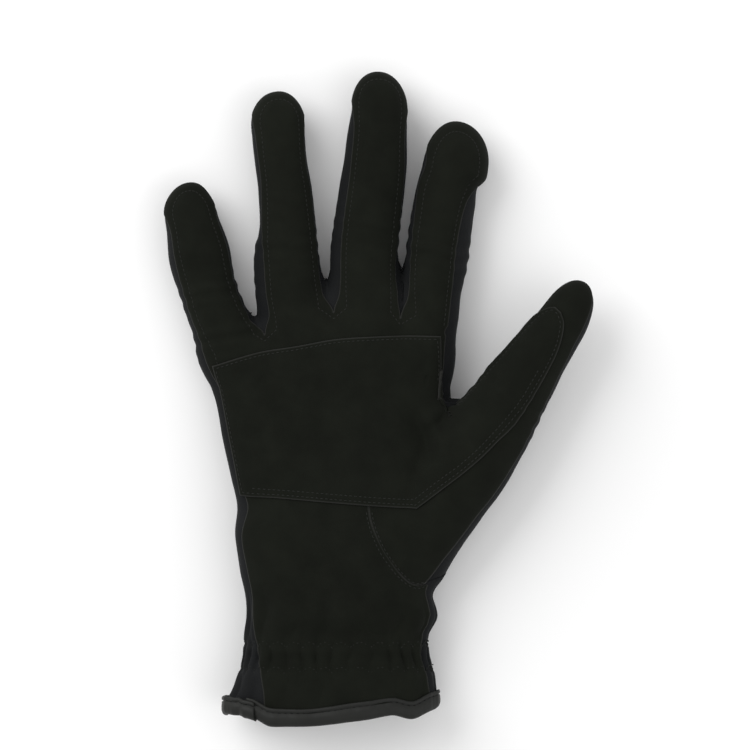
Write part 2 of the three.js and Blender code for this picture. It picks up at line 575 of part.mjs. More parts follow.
// Leather folded over the hem: a band round the cuff, with room for the shell between its two sides
function band(inset, heights, sides) {
  return loft(heights.map((y) => palmRing(y / palmLength, inset, sides)));
}
const reach = layerGap + bindingWall;
const sections = [0, palmSection, 2 * palmSection]; // the cuts share the shell's own sections
const foldedBand = band(-reach, [-reach, 0, bindingHeight], palmSides.outer)
  .subtract(band(wall + reach, [-webCap, ...sections], palmSides.inner));
const shellRoom = band(-layerGap, [-layerGap, ...sections], palmSides.outer)
  .subtract(band(wall + layerGap, [-webCap, ...sections], palmSides.inner));
add("cuff_binding", foldedBand.subtract(shellRoom), bindingColour, bindingRoughness);

// The origin is under the middle of the glove, on the surface that it lies on
const box = new THREE.Box3().setFromObject(glove);
const centre = box.getCenter(new THREE.Vector3());
glove.position.set(-centre.x, -centre.y, -box.min.z);

export default glove;
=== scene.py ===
import math

import bmesh
import bpy
import numpy as np
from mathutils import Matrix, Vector


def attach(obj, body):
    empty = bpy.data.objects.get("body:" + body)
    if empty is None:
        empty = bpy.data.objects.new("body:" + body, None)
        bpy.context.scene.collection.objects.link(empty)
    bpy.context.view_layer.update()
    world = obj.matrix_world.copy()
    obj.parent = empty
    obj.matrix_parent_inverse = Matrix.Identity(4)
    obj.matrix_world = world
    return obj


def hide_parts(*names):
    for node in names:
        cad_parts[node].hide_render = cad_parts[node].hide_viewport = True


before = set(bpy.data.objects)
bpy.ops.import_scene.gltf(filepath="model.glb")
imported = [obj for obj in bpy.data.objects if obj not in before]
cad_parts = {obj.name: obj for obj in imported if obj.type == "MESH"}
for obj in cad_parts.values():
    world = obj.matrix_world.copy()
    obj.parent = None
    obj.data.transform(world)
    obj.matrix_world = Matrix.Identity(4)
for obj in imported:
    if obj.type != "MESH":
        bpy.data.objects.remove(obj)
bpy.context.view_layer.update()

bl_info = {
    "name": "Riding glove",
    "version": (1, 0, 0),
    "blender": (4, 5, 0),
    "location": "3D View > Sidebar > Glove",
    "description": "Builds a sewn suede riding glove, piece by piece, and the stage it lies on",
    "category": "Add Mesh",
}

MM = 0.001
# Where the frame's origin lies in the glove's own plan, whose x is 0 at the palm's middle and y at the hem
PLAN_ORIGIN = np.array([20.2326, 118.0682, 0.0])

# Palm and digits, in millimetres, close to the solids
PALM_LENGTH = 150.0
PALM_THICK = 27.0
WEB_CAP = 15.0
PALM_POWER = 2.3
TIP_POWER = 2.15
ROOT_CAP = 0.12  # share of a digit's length over which its root rounds off inside the palm
FINGERS = ("little", "ring", "middle", "index")
BACK_REACH = 0.86  # how far out the back of a finger reaches, as a share of its half width
TIP_TURN = 86.0  # where the front meets the back round a fingertip, in degrees from the top

# Each digit: length, width, thick, lean in degrees, footing and shift as shares of the width, tip_start
DIGIT_SIZES = {
    "little": (59.5, 22.6, 19.0, -14.6, 1.18, 0.0, 0.8),
    "ring": (85.5, 21.0, 20.0, -3.6, 1.21, -0.11, 0.87),
    "middle": (89.5, 24.4, 20.5, 2.8, 1.0, 0.0, 0.88),
    "index": (75.5, 23.4, 20.5, 7.0, 0.9, 0.066, 0.81),
    "thumb": (91.0, 24.0, 21.5, 33.0, 0.0, 0.0, 0.79),
}
THUMB_ROOT = (0.478, 0.56)

# Sections: at along the digit, bend, left and right as shares of its width, under and thick as shares of its
# thickness, cut_left and cut_right as shares of the half width
DIGIT_COLUMNS = ("bend", "left", "right", "under", "thick", "cut_left", "cut_right")
DIGIT_ROWS = {
    "little": (
        (-0.3, 0.06, 0.36, 0.5, -0.03, 0.94, 0.84, 0.9),
        (0, 0, 0.52, 0.52, -0.03, 1.02, 0.84, 0.9),
        (0.18, -0.09, 0.5, 0.49, -0.03, 1.0, 0.84, 0.9),
        (0.36, -0.13, 0.475, 0.48, -0.02, 0.97, 0.82, 0.9),
        (0.57, -0.115, 0.505, 0.495, 0.0, 0.97, 0.8, 0.9),
        (0.76, -0.1, 0.46, 0.44, 0.06, 0.88, 0.84, 0.92),
        (0.9, -0.09, 0.425, 0.4, 0.12, 0.8, 1.1, 1.1),
        (1, -0.05, 0.42, 0.4, 0.14, 0.78, 1.2, 1.2),
    ),
    "ring": (
        (-0.25, 0, 0.55, 0.58, -0.03, 1.02, 0.64, 0.84),
        (0, 0, 0.6, 0.62, -0.03, 1.02, 0.64, 0.84),
        (0.12, 0, 0.66, 0.59, -0.03, 1.02, 0.66, 0.86),
        (0.33, 0, 0.6, 0.52, -0.02, 1.0, 0.72, 0.92),
        (0.43, 0, 0.48, 0.51, -0.02, 0.97, 0.86, 0.92),
        (0.58, 0, 0.48, 0.475, -0.01, 0.95, 0.84, 0.92),
        (0.7, 0, 0.51, 0.44, 0.02, 0.93, 0.82, 0.9),
        (0.86, 0, 0.5, 0.43, 0.09, 0.86, 0.9, 0.95),
        (1, 0, 0.47, 0.38, 0.15, 0.76, 1.2, 1.2),
    ),
    "middle": (
        (-0.25, 0, 0.5, 0.5, -0.03, 1.02, 0.7, 0.8),
        (0, -0.01, 0.53, 0.52, -0.03, 1.02, 0.7, 0.8),
        (0.12, -0.04, 0.54, 0.52, -0.03, 1.02, 0.7, 0.82),
        (0.29, -0.075, 0.53, 0.52, -0.03, 1.0, 0.68, 0.92),
        (0.53, -0.02, 0.505, 0.495, -0.01, 0.96, 0.7, 0.92),
        (0.77, 0.02, 0.45, 0.45, 0.05, 0.92, 0.78, 0.9),
        (0.88, 0.035, 0.405, 0.405, 0.11, 0.84, 1.0, 1.05),
        (1, 0.02, 0.35, 0.36, 0.16, 0.76, 1.2, 1.2),
    ),
    "index": (
        (-0.3, 0, 0.42, 0.33, -0.03, 0.9, 0.74, 0.6),
        (0, -0.02, 0.44, 0.405, -0.03, 1.02, 0.74, 0.6),
        (0.16, -0.08, 0.45, 0.455, -0.03, 1.02, 0.76, 0.66),
        (0.37, -0.075, 0.5, 0.505, -0.03, 1.0, 0.8, 0.58),
        (0.6, -0.043, 0.495, 0.495, -0.01, 0.96, 0.88, 0.66),
        (0.69, -0.02, 0.475, 0.47, 0.02, 0.96, 0.92, 0.95),
        (0.735, 0.03, 0.5, 0.525, 0.04, 0.96, 0.9, 1.12),
        (0.79, 0.035, 0.485, 0.525, 0.06, 0.95, 0.9, 1.15),
        (0.86, 0.045, 0.47, 0.49, 0.1, 0.88, 1.0, 1.2),
        (1, 0.02, 0.42, 0.46, 0.15, 0.78, 1.2, 1.2),
    ),
    "thumb": (
        (-0.42, 0.02, 0.3, 0.52, 0.08, 0.9, 1.2, 0.88),
        (-0.27, 0.01, 0.4, 0.585, 0.07, 1.05, 1.2, 0.88),
        (-0.12, 0, 0.5, 0.61, 0.06, 1.2, 1.2, 0.88),
        (0.13, 0, 0.66, 0.66, 0.1, 1.26, 1.2, 0.88),
        (0.36, 0, 0.6, 0.59, 0.2, 1.14, 1.2, 0.88),
        (0.5, 0, 0.535, 0.52, 0.28, 1.03, 1.2, 0.88),
        (0.66, 0, 0.47, 0.455, 0.33, 0.98, 1.2, 0.86),
        (0.79, 0.02, 0.4, 0.4, 0.36, 0.9, 1.2, 0.8),
        (1, 0, 0.4, 0.4, 0.4, 0.8, 1.2, 0.8),
    ),
}

# Palm and cuff: at along the palm, left and right edges, under and thick, and the widths cut_left and cut_right of
# the strips at the edges where the back wraps round
PALM_COLUMNS = ("left", "right", "under", "thick", "cut_left", "cut_right")
PALM_ROWS = (
    (-0.04, -0.385, 0.424, 0.05, 0.95, 0.145, 0.025),
    (0.022, -0.372, 0.42, 0.05, 0.95, 0.142, 0.025),
    (0.06, -0.35, 0.415, 0.04, 0.94, 0.12, 0.025),
    (0.104, -0.33, 0.408, 0.02, 0.92, 0.09, 0.025),
    (0.15, -0.308, 0.39, 0.0, 0.9, 0.06, 0.025),
    (0.178, -0.308, 0.39, -0.02, 0.94, 0.055, 0.025),
    (0.207, -0.306, 0.392, -0.02, 0.92, 0.045, 0.025),
    (0.252, -0.298, 0.422, -0.04, 1.0, 0.03, 0.025),
    (0.303, -0.302, 0.405, -0.04, 1.02, 0.03, 0.025),
    (0.37, -0.322, 0.395, -0.05, 1.06, 0.03, 0.025),
    (0.451, -0.338, 0.4, -0.06, 1.1, 0.03, 0.03),
    (0.525, -0.328, 0.42, -0.06, 1.08, 0.035, 0.03),
    (0.6, -0.354, 0.44, -0.06, 1.04, 0.03, 0.03),
    (0.7, -0.385, 0.47, -0.06, 0.97, 0.03, 0.03),
    (0.8, -0.412, 0.476, -0.06, 0.92, 0.03, 0.035),
    (0.92, -0.462, 0.458, -0.05, 0.81, 0.03, 0.065),
    (1.1, -0.5, 0.46, -0.04, 0.64, 0.03, 0.08),
)

# Across the knuckles from the little finger's side: notch in the palm leather, in the back, and the web
KNUCKLES = ((0.93, 0.96, 0.95), (0.945, 0.97, 0.99), (1.0, 1.03, 1.07), (0.986, 1.04, 1.093), (0.955, 0.98, 0.96))

# Height of the hem across the cuff
HEM_ROWS = (
    (-0.38, 0.02),
    (-0.27, 0.015),
    (-0.2, -0.003),
    (-0.04, -0.003),
    (0.1, 0.004),
    (0.25, 0.021),
    (0.33, 0.015),
    (0.42, 0.034),
)

# Folds: x and y as shares of the palm, turn in degrees, then half sizes long and wide and the height, in mm
FOLDS = (
    (0.425, 0.695, -63, 9, 2.8, 2.6),
    (0.43, 0.752, 39, 6, 2.6, 1.9),
    (0.35, 0.715, -58, 12, 4.2, -2.9),
    (-0.26, 0.53, 20, 11, 5, -1.2),
    (0.02, 0.7, 78, 34, 17, -1.8),
    (0.32, 0.48, 52, 26, 10, 1.6),
    (0.1, 0.33, 84, 18, 7, 1.3),
    (-0.14, 0.3, 96, 16, 6, 1.1),
)

# Seam of the thumb on the palm side, from the wrist's edge to the crotch
THUMB_SEAM_FRONT = (
    (0.375, 0.334),
    (0.34, 0.331),
    (0.303, 0.344),
    (0.254, 0.38),
    (0.205, 0.432),
    (0.168, 0.51),
    (0.18, 0.6),
    (0.27, 0.69),
    (0.38, 0.752),
    (0.442, 0.785),
)

# Patch: its upper edge, from the little finger's side to the round end on the thumb, and its lower edge
PATCH_UPPER = (
    (-0.425, 0.868),
    (-0.265, 0.898),
    (-0.106, 0.916),
    (0.06, 0.934),
    (0.284, 0.942),
    (0.433, 0.942),
)
PATCH_SIDE = ((0.433, 0.942), (0.444, 0.87), (0.446, 0.83), (0.438, 0.79))
PATCH_THUMB_IN = (
    (0.438, 0.79),
    (0.468, 0.784),
    (0.506, 0.781),
    (0.6, 0.842),
    (0.71, 0.925),
    (0.79, 0.985),
    (0.838, 1.007),
    (0.868, 1.011),
)
PATCH_LOWER = ((-0.312, 0.552), (-0.106, 0.54), (0.133, 0.527), (0.35, 0.518))
PATCH_THUMB_OUT = (
    (0.35, 0.518),
    (0.432, 0.56),
    (0.591, 0.646),
    (0.735, 0.752),
    (0.807, 0.824),
    (0.857, 0.883),
    (0.887, 0.93),
    (0.899, 0.97),
    (0.889, 0.998),
)

# Where the back ends on the thumb's side: share of the palm's length, and turn in degrees from the top
BACK_EDGE_ROWS = (
    (0, 62),
    (0.332, 62),
    (0.356, 88),
    (0.375, 114),
    (0.45, 128),
    (0.56, 133),
    (0.68, 127),
    (0.73, 116),
    (0.76, 92),
    (0.78, 58),
    (0.84, 52),
    (0.92, 54),
)

# Layers: height of the outer face over the glove's form, in millimetres, and the size that is its thickness
LAYERS = {
    "cloth": (-0.15, "cloth_thickness"),
    "back": (0.1, "cloth_thickness"),
    "suede": (0.6, "suede_thickness"),
    "patch": (1.42, "patch_thickness"),
}

# Counts of the grids' rows and columns
FINGER_COLUMNS = 38
PALM_ROW_COUNT = 150
ROOT_ROWS, BODY_ROWS, TIP_ROWS = 15, 70, 16
THUMB_ROOT_ROWS = 48
STRIP_ROWS, WEB_ROWS, STRIP_COLUMNS = 60, 26, 22
PATCH_COLUMNS = (110, 34, 80)  # along its upper edge, its side and the thumb
PATCH_ROWS = 96
WELD_STEPS = 500  # points of two grids are one where they agree to this part of a millimetre

# Where the sheets begin, end and lap: shares of a length, degrees, or millimetres where a comment says so
UNDER_LAP = 9.0  # how far a lower layer runs under the edge of an upper one round a digit, in degrees
NO_LIMIT = 400.0  # a turn past any other
HIDDEN_FRONT = (0.846, 0.874, 0.893, 0.911, 0.915)  # row under the patch where the palm leather's fingers begin
HIDDEN_BACK = (0.85, 0.86, 0.87, 0.87, 0.85)  # row of the back where its fingers begin
OUTER_STARTS = (-0.03, 0.0)  # outer start of the little and of the index finger
NOTCH_PULL = 11.0  # how far up a finger its edge is drawn to the notch, in millimetres
BACK_NOTCH_HEIGHT = 1.0  # height of the notches in the back, in millimetres
THUMB_SEAM_ENDS = (0.305, 0.81)  # where the palm's right edge leaves for the thumb's seam and comes back
THUMB_BACK_SPAN = (0.8, 0.29)  # where the thumb's back begins and ends along the palm
THUMB_BACK_RISE = 52  # turn to which its seam rises at both ends, in degrees
STRIP_TOP = 0.09  # how far past the start of a fingertip the strips run
WEB_START = 4.5  # from the web to the strips' straight rows, in millimetres
NOTCH_LAP = 3.0  # how far the strips dip under the notches, in millimetres
STEEPEST = 0.985  # how far out on the thumb the patch reaches, as a share of its half width
BASE_HEIGHT = 11.0  # height inside the palm from which lines start, in millimetres
THUMB_BASE_HEIGHT = 15.0  # the same inside the thumb

# Gathers, folds and dents, in millimetres
ELASTIC_ROWS = (27.6, 18.4)  # heights of the two rows of elastic above the hem
RIB_COUNT = 33  # gathers round the cuff
FOLD_HEIGHT = 1.3  # height of the folds that run out from the gathers
ROW_DEPTH = 0.5  # how far a row of elastic draws the cuff in
FLOOR_SOFT = 0.7  # how softly the underside flattens
PUCKER = 0.24  # how far a stitch draws the leather in

# Waves of handled leather: x, y and z of the wave, its start and its height
WAVES = (
    (0.11, 0.05, 0.03, 0.3, 0.22),
    (-0.06, 0.13, 0.05, 1.7, 0.2),
    (0.21, -0.12, 0.1, 0.9, 0.11),
    (0.16, 0.27, 0.2, 2.6, 0.08),
    (-0.34, 0.2, 0.15, 4.0, 0.05),
    (0.42, 0.37, 0.2, 5.1, 0.035),
)

# Wrinkles: digit, joint and width as shares of its length, and height
CREASES = (
    ("little", 0.3, 0.1, 0.28),
    ("ring", 0.33, 0.07, 0.25),
    ("middle", 0.36, 0.08, 0.22),
    ("index", 0.34, 0.1, 0.28),
    ("thumb", 0.42, 0.09, 0.25),
    ("little", 0.02, 0.09, 0.3),
)

# Binding: its turns are in radians from the top, and its lap is where its end lies over its start
BINDING_STEPS = 420
BINDING_START = math.radians(-49)
BINDING_LAP = math.radians(7)
LAP_RISE = 0.75  # how much further out the lap lies, as a share
LAP_DROP = 0.9  # how much further down the plan it lies, in millimetres
# Its profile: how far outwards and how high from the hem's line, in millimetres
BINDING_PROFILE = (
    (0.75, 5.5),
    (1.15, 5.35),
    (1.35, 4.9),
    (1.35, 4.25),
    (0.65, 3.85),
    (1.3, 3.45),
    (1.45, 1.8),
    (1.4, 0.4),
    (1.0, -0.7),
    (0.2, -1.3),
    (-0.8, -1.35),
    (-1.7, -0.7),
    (-2.1, 0.4),
    (-2.1, 1.8),
    (-1.9, 3.6),
    (-1.8, 5.0),
    (-1.3, 5.2),
    (-1.2, 3.6),
    (-1.3, 0.9),
    (-0.6, -0.2),
    (0.2, -0.1),
    (0.55, 0.9),
    (0.6, 3.4),
)

# Rows of stitches, in millimetres
INSET = 2.0  # from a leather edge to its row of stitches
RIGHT_INSET = 1.2  # the same on the right side of a finger
PATCH_INSETS = (1.3, 3.1)  # from the patch's edge to its first and its second row
CROTCH_CLEAR = 6.5  # from the thumb's crotch to the nearest stitch of the patch
ELASTIC_PITCH = 1.5
ARCH_HEIGHT = 2.2  # how high a row of elastic arches over a gather
HEM_PITCH = 2.3
HEM_STITCH_REACH = 0.8  # outwards from the hem's line
HEM_STITCH_HEIGHT = 3.75  # up from the hem's line
STITCH_SINK = 0.17  # how deep a stitch's axis lies under the leather's face

# Stage, in metres and watts where a comment says nothing else
VIEW_CENTRE = (18.5, 126.9, 0.0)  # what the middle of the picture shows, in the glove's plan in millimetres
VIEW_LEVEL = 0.012  # height at which the view's width is measured
SKY_LIGHT = 0.8
# Lamps: name, place, width and power
LIGHTS = (("key_light", (-0.9, 0.75, 0.95), 1.2, 15), ("fill_light", (1.3, -0.5, 1.2), 1.6, 7))

STEPS = ("stage", "back", "fourchettes", "thumb", "palm", "patch", "binding", "stitches")


class Table:
    """Rows of sections. Between two rows each column follows a cubic with the slopes of the rows around it."""

    DENSE = 700

    def __init__(self, columns, rows):
        rows = np.array(rows, float)
        at, values = rows[:, 0], rows[:, 1:]
        slope = np.empty_like(values)
        slope[1:-1] = (values[2:] - values[:-2]) / (at[2:] - at[:-2])[:, None]
        slope[0] = (values[1] - values[0]) / (at[1] - at[0])
        slope[-1] = (values[-1] - values[-2]) / (at[-1] - at[-2])
        self.at = np.linspace(at[0], at[-1], self.DENSE)
        i = np.clip(np.searchsorted(at, self.at, side="right") - 1, 0, len(at) - 2)
        span = (at[i + 1] - at[i])[:, None]
        s = (self.at[:, None] - at[i][:, None]) / span
        self.values = (
            (2 * s**3 - 3 * s**2 + 1) * values[i]
            + (s**3 - 2 * s**2 + s) * span * slope[i]
            + (3 * s**2 - 2 * s**3) * values[i + 1]
            + (s**3 - s**2) * span * slope[i + 1]
        )
        self.columns = columns

    def read(self, name, at):
        """One column at each place along the table."""
        return np.interp(at, self.at, self.values[:, self.columns.index(name)])


PALM_WIDTH = sum(DIGIT_SIZES[name][1] * DIGIT_SIZES[name][4] for name in FINGERS)
KNUCKLE_X = -PALM_WIDTH / 2 + np.cumsum([0.0] + [DIGIT_SIZES[name][1] * DIGIT_SIZES[name][4] for name in FINGERS])
KNUCKLE_TABLE = Table(("notch", "back_notch", "web"), [(x, *row) for x, row in zip(KNUCKLE_X, KNUCKLES)])
HEM_TABLE = Table(("y",), HEM_ROWS)
PALM_TABLE = Table(PALM_COLUMNS, PALM_ROWS)
BACK_EDGE_TABLE = Table(("turn",), BACK_EDGE_ROWS)
PALM_SIZE = np.array([PALM_WIDTH, PALM_LENGTH])


def smooth_step(low, high, value):
    """0 below low, 1 above high, and an S between them."""
    t = np.clip((value - low) / (high - low), 0, 1)
    return t * t * (3 - 2 * t)


def mix(a, b, share):
    """From a to b by a share."""
    return a + (b - a) * share


class Digit:
    """A flattened tube round a plan line from its root. Its section is an ellipse whose half sizes follow a table,
    and its tip rounds off by a superellipse."""

    def __init__(self, name):
        self.name = name
        self.length, self.width, self.thick, lean, _, shift, self.tip_start = DIGIT_SIZES[name]
        self.table = Table(DIGIT_COLUMNS, DIGIT_ROWS[name])
        self.start = DIGIT_ROWS[name][0][0]
        lean = math.radians(lean)
        self.along = np.array([math.sin(lean), math.cos(lean)])
        self.across = np.array([self.along[1], -self.along[0]])
        if name in FINGERS:
            i = FINGERS.index(name)
            x = (KNUCKLE_X[i] + KNUCKLE_X[i + 1]) / 2 + shift * self.width
            self.root = np.array([x, (KNUCKLES[i][0] + KNUCKLES[i + 1][0]) / 2 * PALM_LENGTH])
        else:
            self.root = np.array(THUMB_ROOT) * PALM_SIZE

    def section(self, at):
        """Sideways place of the axis, half widths, and middle and half height of the section, in millimetres."""
        read = self.table.read
        depth = read("thick", at) * self.thick / 2
        middle = read("under", at) * self.thick + depth
        bend, left, right = (read(name, at) * self.width for name in ("bend", "left", "right"))
        return bend, left, right, middle, depth

    def shrink(self, at):
        """Size of the section inside the round tip, as a share: (1 - t^p)^(1/p) over the tip's length."""
        t = np.clip((at - self.tip_start) / (1 - self.tip_start), 0, 1)
        return (1 - t**TIP_POWER) ** (1 / TIP_POWER)

    def point(self, at, turn, scale=1.0):
        """Point of the tube's surface: turn is in degrees from the top towards the right."""
        at, turn = np.broadcast_arrays(at, np.radians(turn))
        bend, left, right, middle, depth = self.section(at)
        size = self.shrink(at) * scale
        side = bend + np.where(np.sin(turn) < 0, left, right) * size * np.sin(turn)
        plan = self.root + at[..., None] * self.length * self.along + side[..., None] * self.across
        return np.concatenate([plan, (middle + depth * size * np.cos(turn))[..., None]], -1)

    def local(self, x, y):
        """Share of the length and distance to the side of a point in plan."""
        dx, dy = x - self.root[0], y - self.root[1]
        return (dx * self.along[0] + dy * self.along[1]) / self.length, dx * self.across[0] + dy * self.across[1]

    def field(self, x, y, z):
        """Below zero inside the tube and above it outside, roughly in millimetres."""
        at, side = self.local(x, y)
        bend, left, right, middle, depth = self.section(at)
        side = side - bend
        half = np.where(side < 0, left, right)
        r = np.sqrt((side / half) ** 2 + ((z - middle) / depth) ** 2)
        tip = np.clip((at - self.tip_start) / (1 - self.tip_start), 0, None)
        root = np.clip((self.start + ROOT_CAP - at) / ROOT_CAP, 0, None)
        r = (r**TIP_POWER + tip**TIP_POWER + root**TIP_POWER) ** (1 / TIP_POWER)
        return (r - 1) * np.minimum(half, depth)

    def cut(self, at, side):
        """Where the palm-side leather ends round the section, in degrees from the top, for side left or right."""
        share = self.table.read("cut_" + side, at)
        turn = np.where(share < 1, np.degrees(np.arcsin(np.clip(share, 0, 1))), 90 + (share - 1) * 60)
        return np.minimum(turn, TIP_TURN)

    def back_cut(self, at, side):
        """Where the back ends round the section: it meets the palm side at the tip."""
        under = 180 - math.degrees(math.asin(BACK_REACH))
        near_tip = smooth_step(self.tip_start - 0.12, self.tip_start + 0.06, at)
        return mix(under, self.cut(at, side), near_tip)


DIGITS = {name: Digit(name) for name in DIGIT_SIZES}


def palm_share(x, y):
    """Share of the palm's length at a point in plan: it follows the hem at one end and the webs at the other."""
    hem = HEM_TABLE.read("y", x / PALM_WIDTH)
    web = KNUCKLE_TABLE.read("web", x) - 1
    at = y / PALM_LENGTH
    for _ in range(5):
        at = y / PALM_LENGTH - hem * np.clip(1 - at * 4, 0, None) ** 2 - web * np.clip(at, 0, None) ** 3
    return at


def palm_y(at, x):
    """Height in plan of a share of the palm's length at x."""
    hem = HEM_TABLE.read("y", x / PALM_WIDTH) * np.clip(1 - at * 4, 0, None) ** 2
    web = (KNUCKLE_TABLE.read("web", x) - 1) * np.clip(at, 0, None) ** 3
    return (at + hem + web) * PALM_LENGTH


def palm_section(at):
    """Middle and half width, and middle and half height, of the palm's section, in millimetres."""
    read = PALM_TABLE.read
    left, right = read("left", at) * PALM_WIDTH, read("right", at) * PALM_WIDTH
    depth = read("thick", at) * PALM_THICK / 2
    return (left + right) / 2, (right - left) / 2, read("under", at) * PALM_THICK + depth, depth


def palm_field(x, y, z):
    """Below zero inside the palm: a superellipse section that thins to an edge at the webs."""
    at = palm_share(x, y)
    centre, half, middle, depth = palm_section(at)
    start = 1 - WEB_CAP / PALM_LENGTH
    cap = np.clip((at - start) / (1 - start), 0, None)
    high = np.sqrt(((z - middle) / depth) ** 2 + cap**2)
    r = (np.abs((x - centre) / half) ** PALM_POWER + high**PALM_POWER) ** (1 / PALM_POWER)
    return (r - 1) * depth


def fold_height(x, y):
    """Height of the broad folds over the palm side: a sum of long bell shapes."""
    height = np.zeros_like(x)
    for fx, fy, turn, long, wide, high in FOLDS:
        c, s = math.cos(math.radians(turn)), math.sin(math.radians(turn))
        dx, dy = x - fx * PALM_WIDTH, y - fy * PALM_LENGTH
        height += high * np.exp(-(((dx * c + dy * s) / long) ** 2) - ((dy * c - dx * s) / wide) ** 2)
    return height


def soft_min(a, b, reach):
    """The lower of two fields, with a fillet of that reach between them."""
    h = np.clip(0.5 + 0.5 * (b - a) / reach, 0, 1)
    return b + (a - b) * h - reach * h * (1 - h)


def form(points):
    """The glove's form, below zero inside: digits and palm joined with fillets, with the folds on the upper half."""
    x, y, z = np.moveaxis(points, -1, 0)
    at = palm_share(x, y)
    _, _, middle, depth = palm_section(at)
    z = z - fold_height(x, y) * np.sqrt(np.clip((z - middle) / depth, 0, 1))
    value = DIGITS["little"].field(x, y, z)
    for name, reach in (("ring", 0.8), ("middle", 0.8), ("index", 0.8), ("thumb", 3.0)):
        value = soft_min(value, DIGITS[name].field(x, y, z), reach)
    return soft_min(value, palm_field(x, y, z), 5.0)


def slope(points, step=0.2):
    """Unit outward direction of the form, from differences over a short step."""
    out = np.empty_like(points)
    for axis in range(3):
        move = np.zeros(3)
        move[axis] = step
        out[..., axis] = form(points + move) - form(points - move)
    return out / np.maximum(np.linalg.norm(out, axis=-1, keepdims=True), 1e-9)


def march(base, target, steps=30, near=0.25, far=2.2):
    """First place where the line from base through target leaves the form: even steps, then halving."""
    ray = target - base
    t = np.linspace(near, far, steps)
    inside = np.stack([form(base + ray * share) < 0 for share in t])
    leaves = inside[:-1] & ~inside[1:]
    found = leaves.any(0)
    first = np.argmax(leaves, 0)
    stop = np.where(inside[-1], far, 1.0)
    low = np.where(found, t[first], stop)
    high = np.where(found, t[np.minimum(first + 1, steps - 1)], stop)
    for _ in range(9):
        half = (low + high) / 2
        within = form(base + ray * half[..., None]) < 0
        low = np.where(within, half, low)
        high = np.where(within, high, half)
    return base + ray * ((low + high) / 2)[..., None]


def spread(count, crowd=0.45):
    """Shares from 0 to 1, closer together at both ends: a line mixed with a cosine."""
    t = np.linspace(0, 1, count + 1)
    return mix(t, 0.5 - 0.5 * np.cos(math.pi * t), crowd)


def travelled(line):
    """How far along a line each of its points lies."""
    return np.concatenate([[0], np.cumsum(np.linalg.norm(np.diff(line, axis=0), axis=1))])


def line_at(line, places):
    """Points of a line at distances along it."""
    far = travelled(line)
    return np.stack([np.interp(places, far, line[:, i]) for i in range(line.shape[1])], -1)


def even(line, count):
    """A line's points spaced evenly along it."""
    return line_at(line, np.linspace(0, travelled(line)[-1], count + 1))


def curve_through(points, count):
    """Evenly spaced points of a smooth curve (Catmull-Rom) through a short list of points."""
    p = np.array(points, float)
    p = np.vstack([2 * p[0] - p[1], p, 2 * p[-1] - p[-2]])
    s = np.linspace(0, 1, 40, endpoint=False)[:, None]
    parts = []
    for a, b, c, d in zip(p[:-3], p[1:-2], p[2:-1], p[3:]):
        square = (2 * a - 5 * b + 4 * c - d) * s**2
        cube = (3 * b - a - 3 * c + d) * s**3
        parts.append(0.5 * (2 * b + (c - a) * s + square + cube))
    return even(np.vstack(parts + [p[-2:-1]]), count)


def in_mm(points):
    """Plan points from shares of the palm's width and length."""
    return np.array(points) * PALM_SIZE


def palm_top(x, y):
    """Point on the palm's own upper side over a place in plan."""
    centre, half, middle, depth = palm_section(palm_share(x, y))
    across = np.clip(np.abs((x - centre) / half), 0, 0.999)
    return np.stack([x, y, middle + depth * (1 - across**PALM_POWER) ** (1 / PALM_POWER)], -1)


def palm_edge(at, side):
    """Plan line where the palm leather ends at one side of the palm, at shares of its length."""
    sign = 1 if side == "left" else -1
    x = (PALM_TABLE.read(side, at) + sign * PALM_TABLE.read("cut_" + side, at)) * PALM_WIDTH
    return np.stack([x, palm_y(at, x)], -1)


def palm_turn_point(at, turn):
    """Point of the palm's section at a turn in degrees from the top, for shares along the palm."""
    centre, half, middle, depth = palm_section(at)
    u, w = np.sin(np.radians(turn)), np.cos(np.radians(turn))
    x = centre + half * np.sign(u) * np.abs(u) ** (2 / PALM_POWER)
    z = middle + depth * np.sign(w) * np.abs(w) ** (2 / PALM_POWER)
    return np.stack([x, palm_y(at, x), z], -1)


def palm_core(at, target, share):
    """Points inside the palm, at shares of its length, from which lines go out to the targets."""
    centre, _, middle, _ = palm_section(at)
    return np.stack([centre + share * (target[..., 0] - centre), target[..., 1], middle + 0 * target[..., 0]], -1)


def turn_of(x, at):
    """Turn round the palm's section of a place x on its underside."""
    centre, half, _, _ = palm_section(at)
    across = (x - centre) / half
    return 180 - np.sign(across) * np.degrees(np.arcsin(np.clip(np.abs(across) ** (PALM_POWER / 2), 0, 1)))


def notch_point(k, back=False):
    """Bottom of the notch between two fingers in the palm leather, or in the back, on the palm's own form."""
    x = KNUCKLE_X[k]
    y = KNUCKLES[k][1 if back else 0] * PALM_LENGTH
    point = palm_top(np.array(x), np.array(y))
    if back:
        point[2] = BACK_NOTCH_HEIGHT
    return point


def comb_columns(stops):
    """Values across all four fingers: between two stops they follow the shares across one finger."""
    shares = spread(FINGER_COLUMNS)[:-1]
    parts = [mix(stops[k], stops[k + 1], shares) for k in range(len(FINGERS))]
    return np.concatenate(parts + [[stops[-1]]])


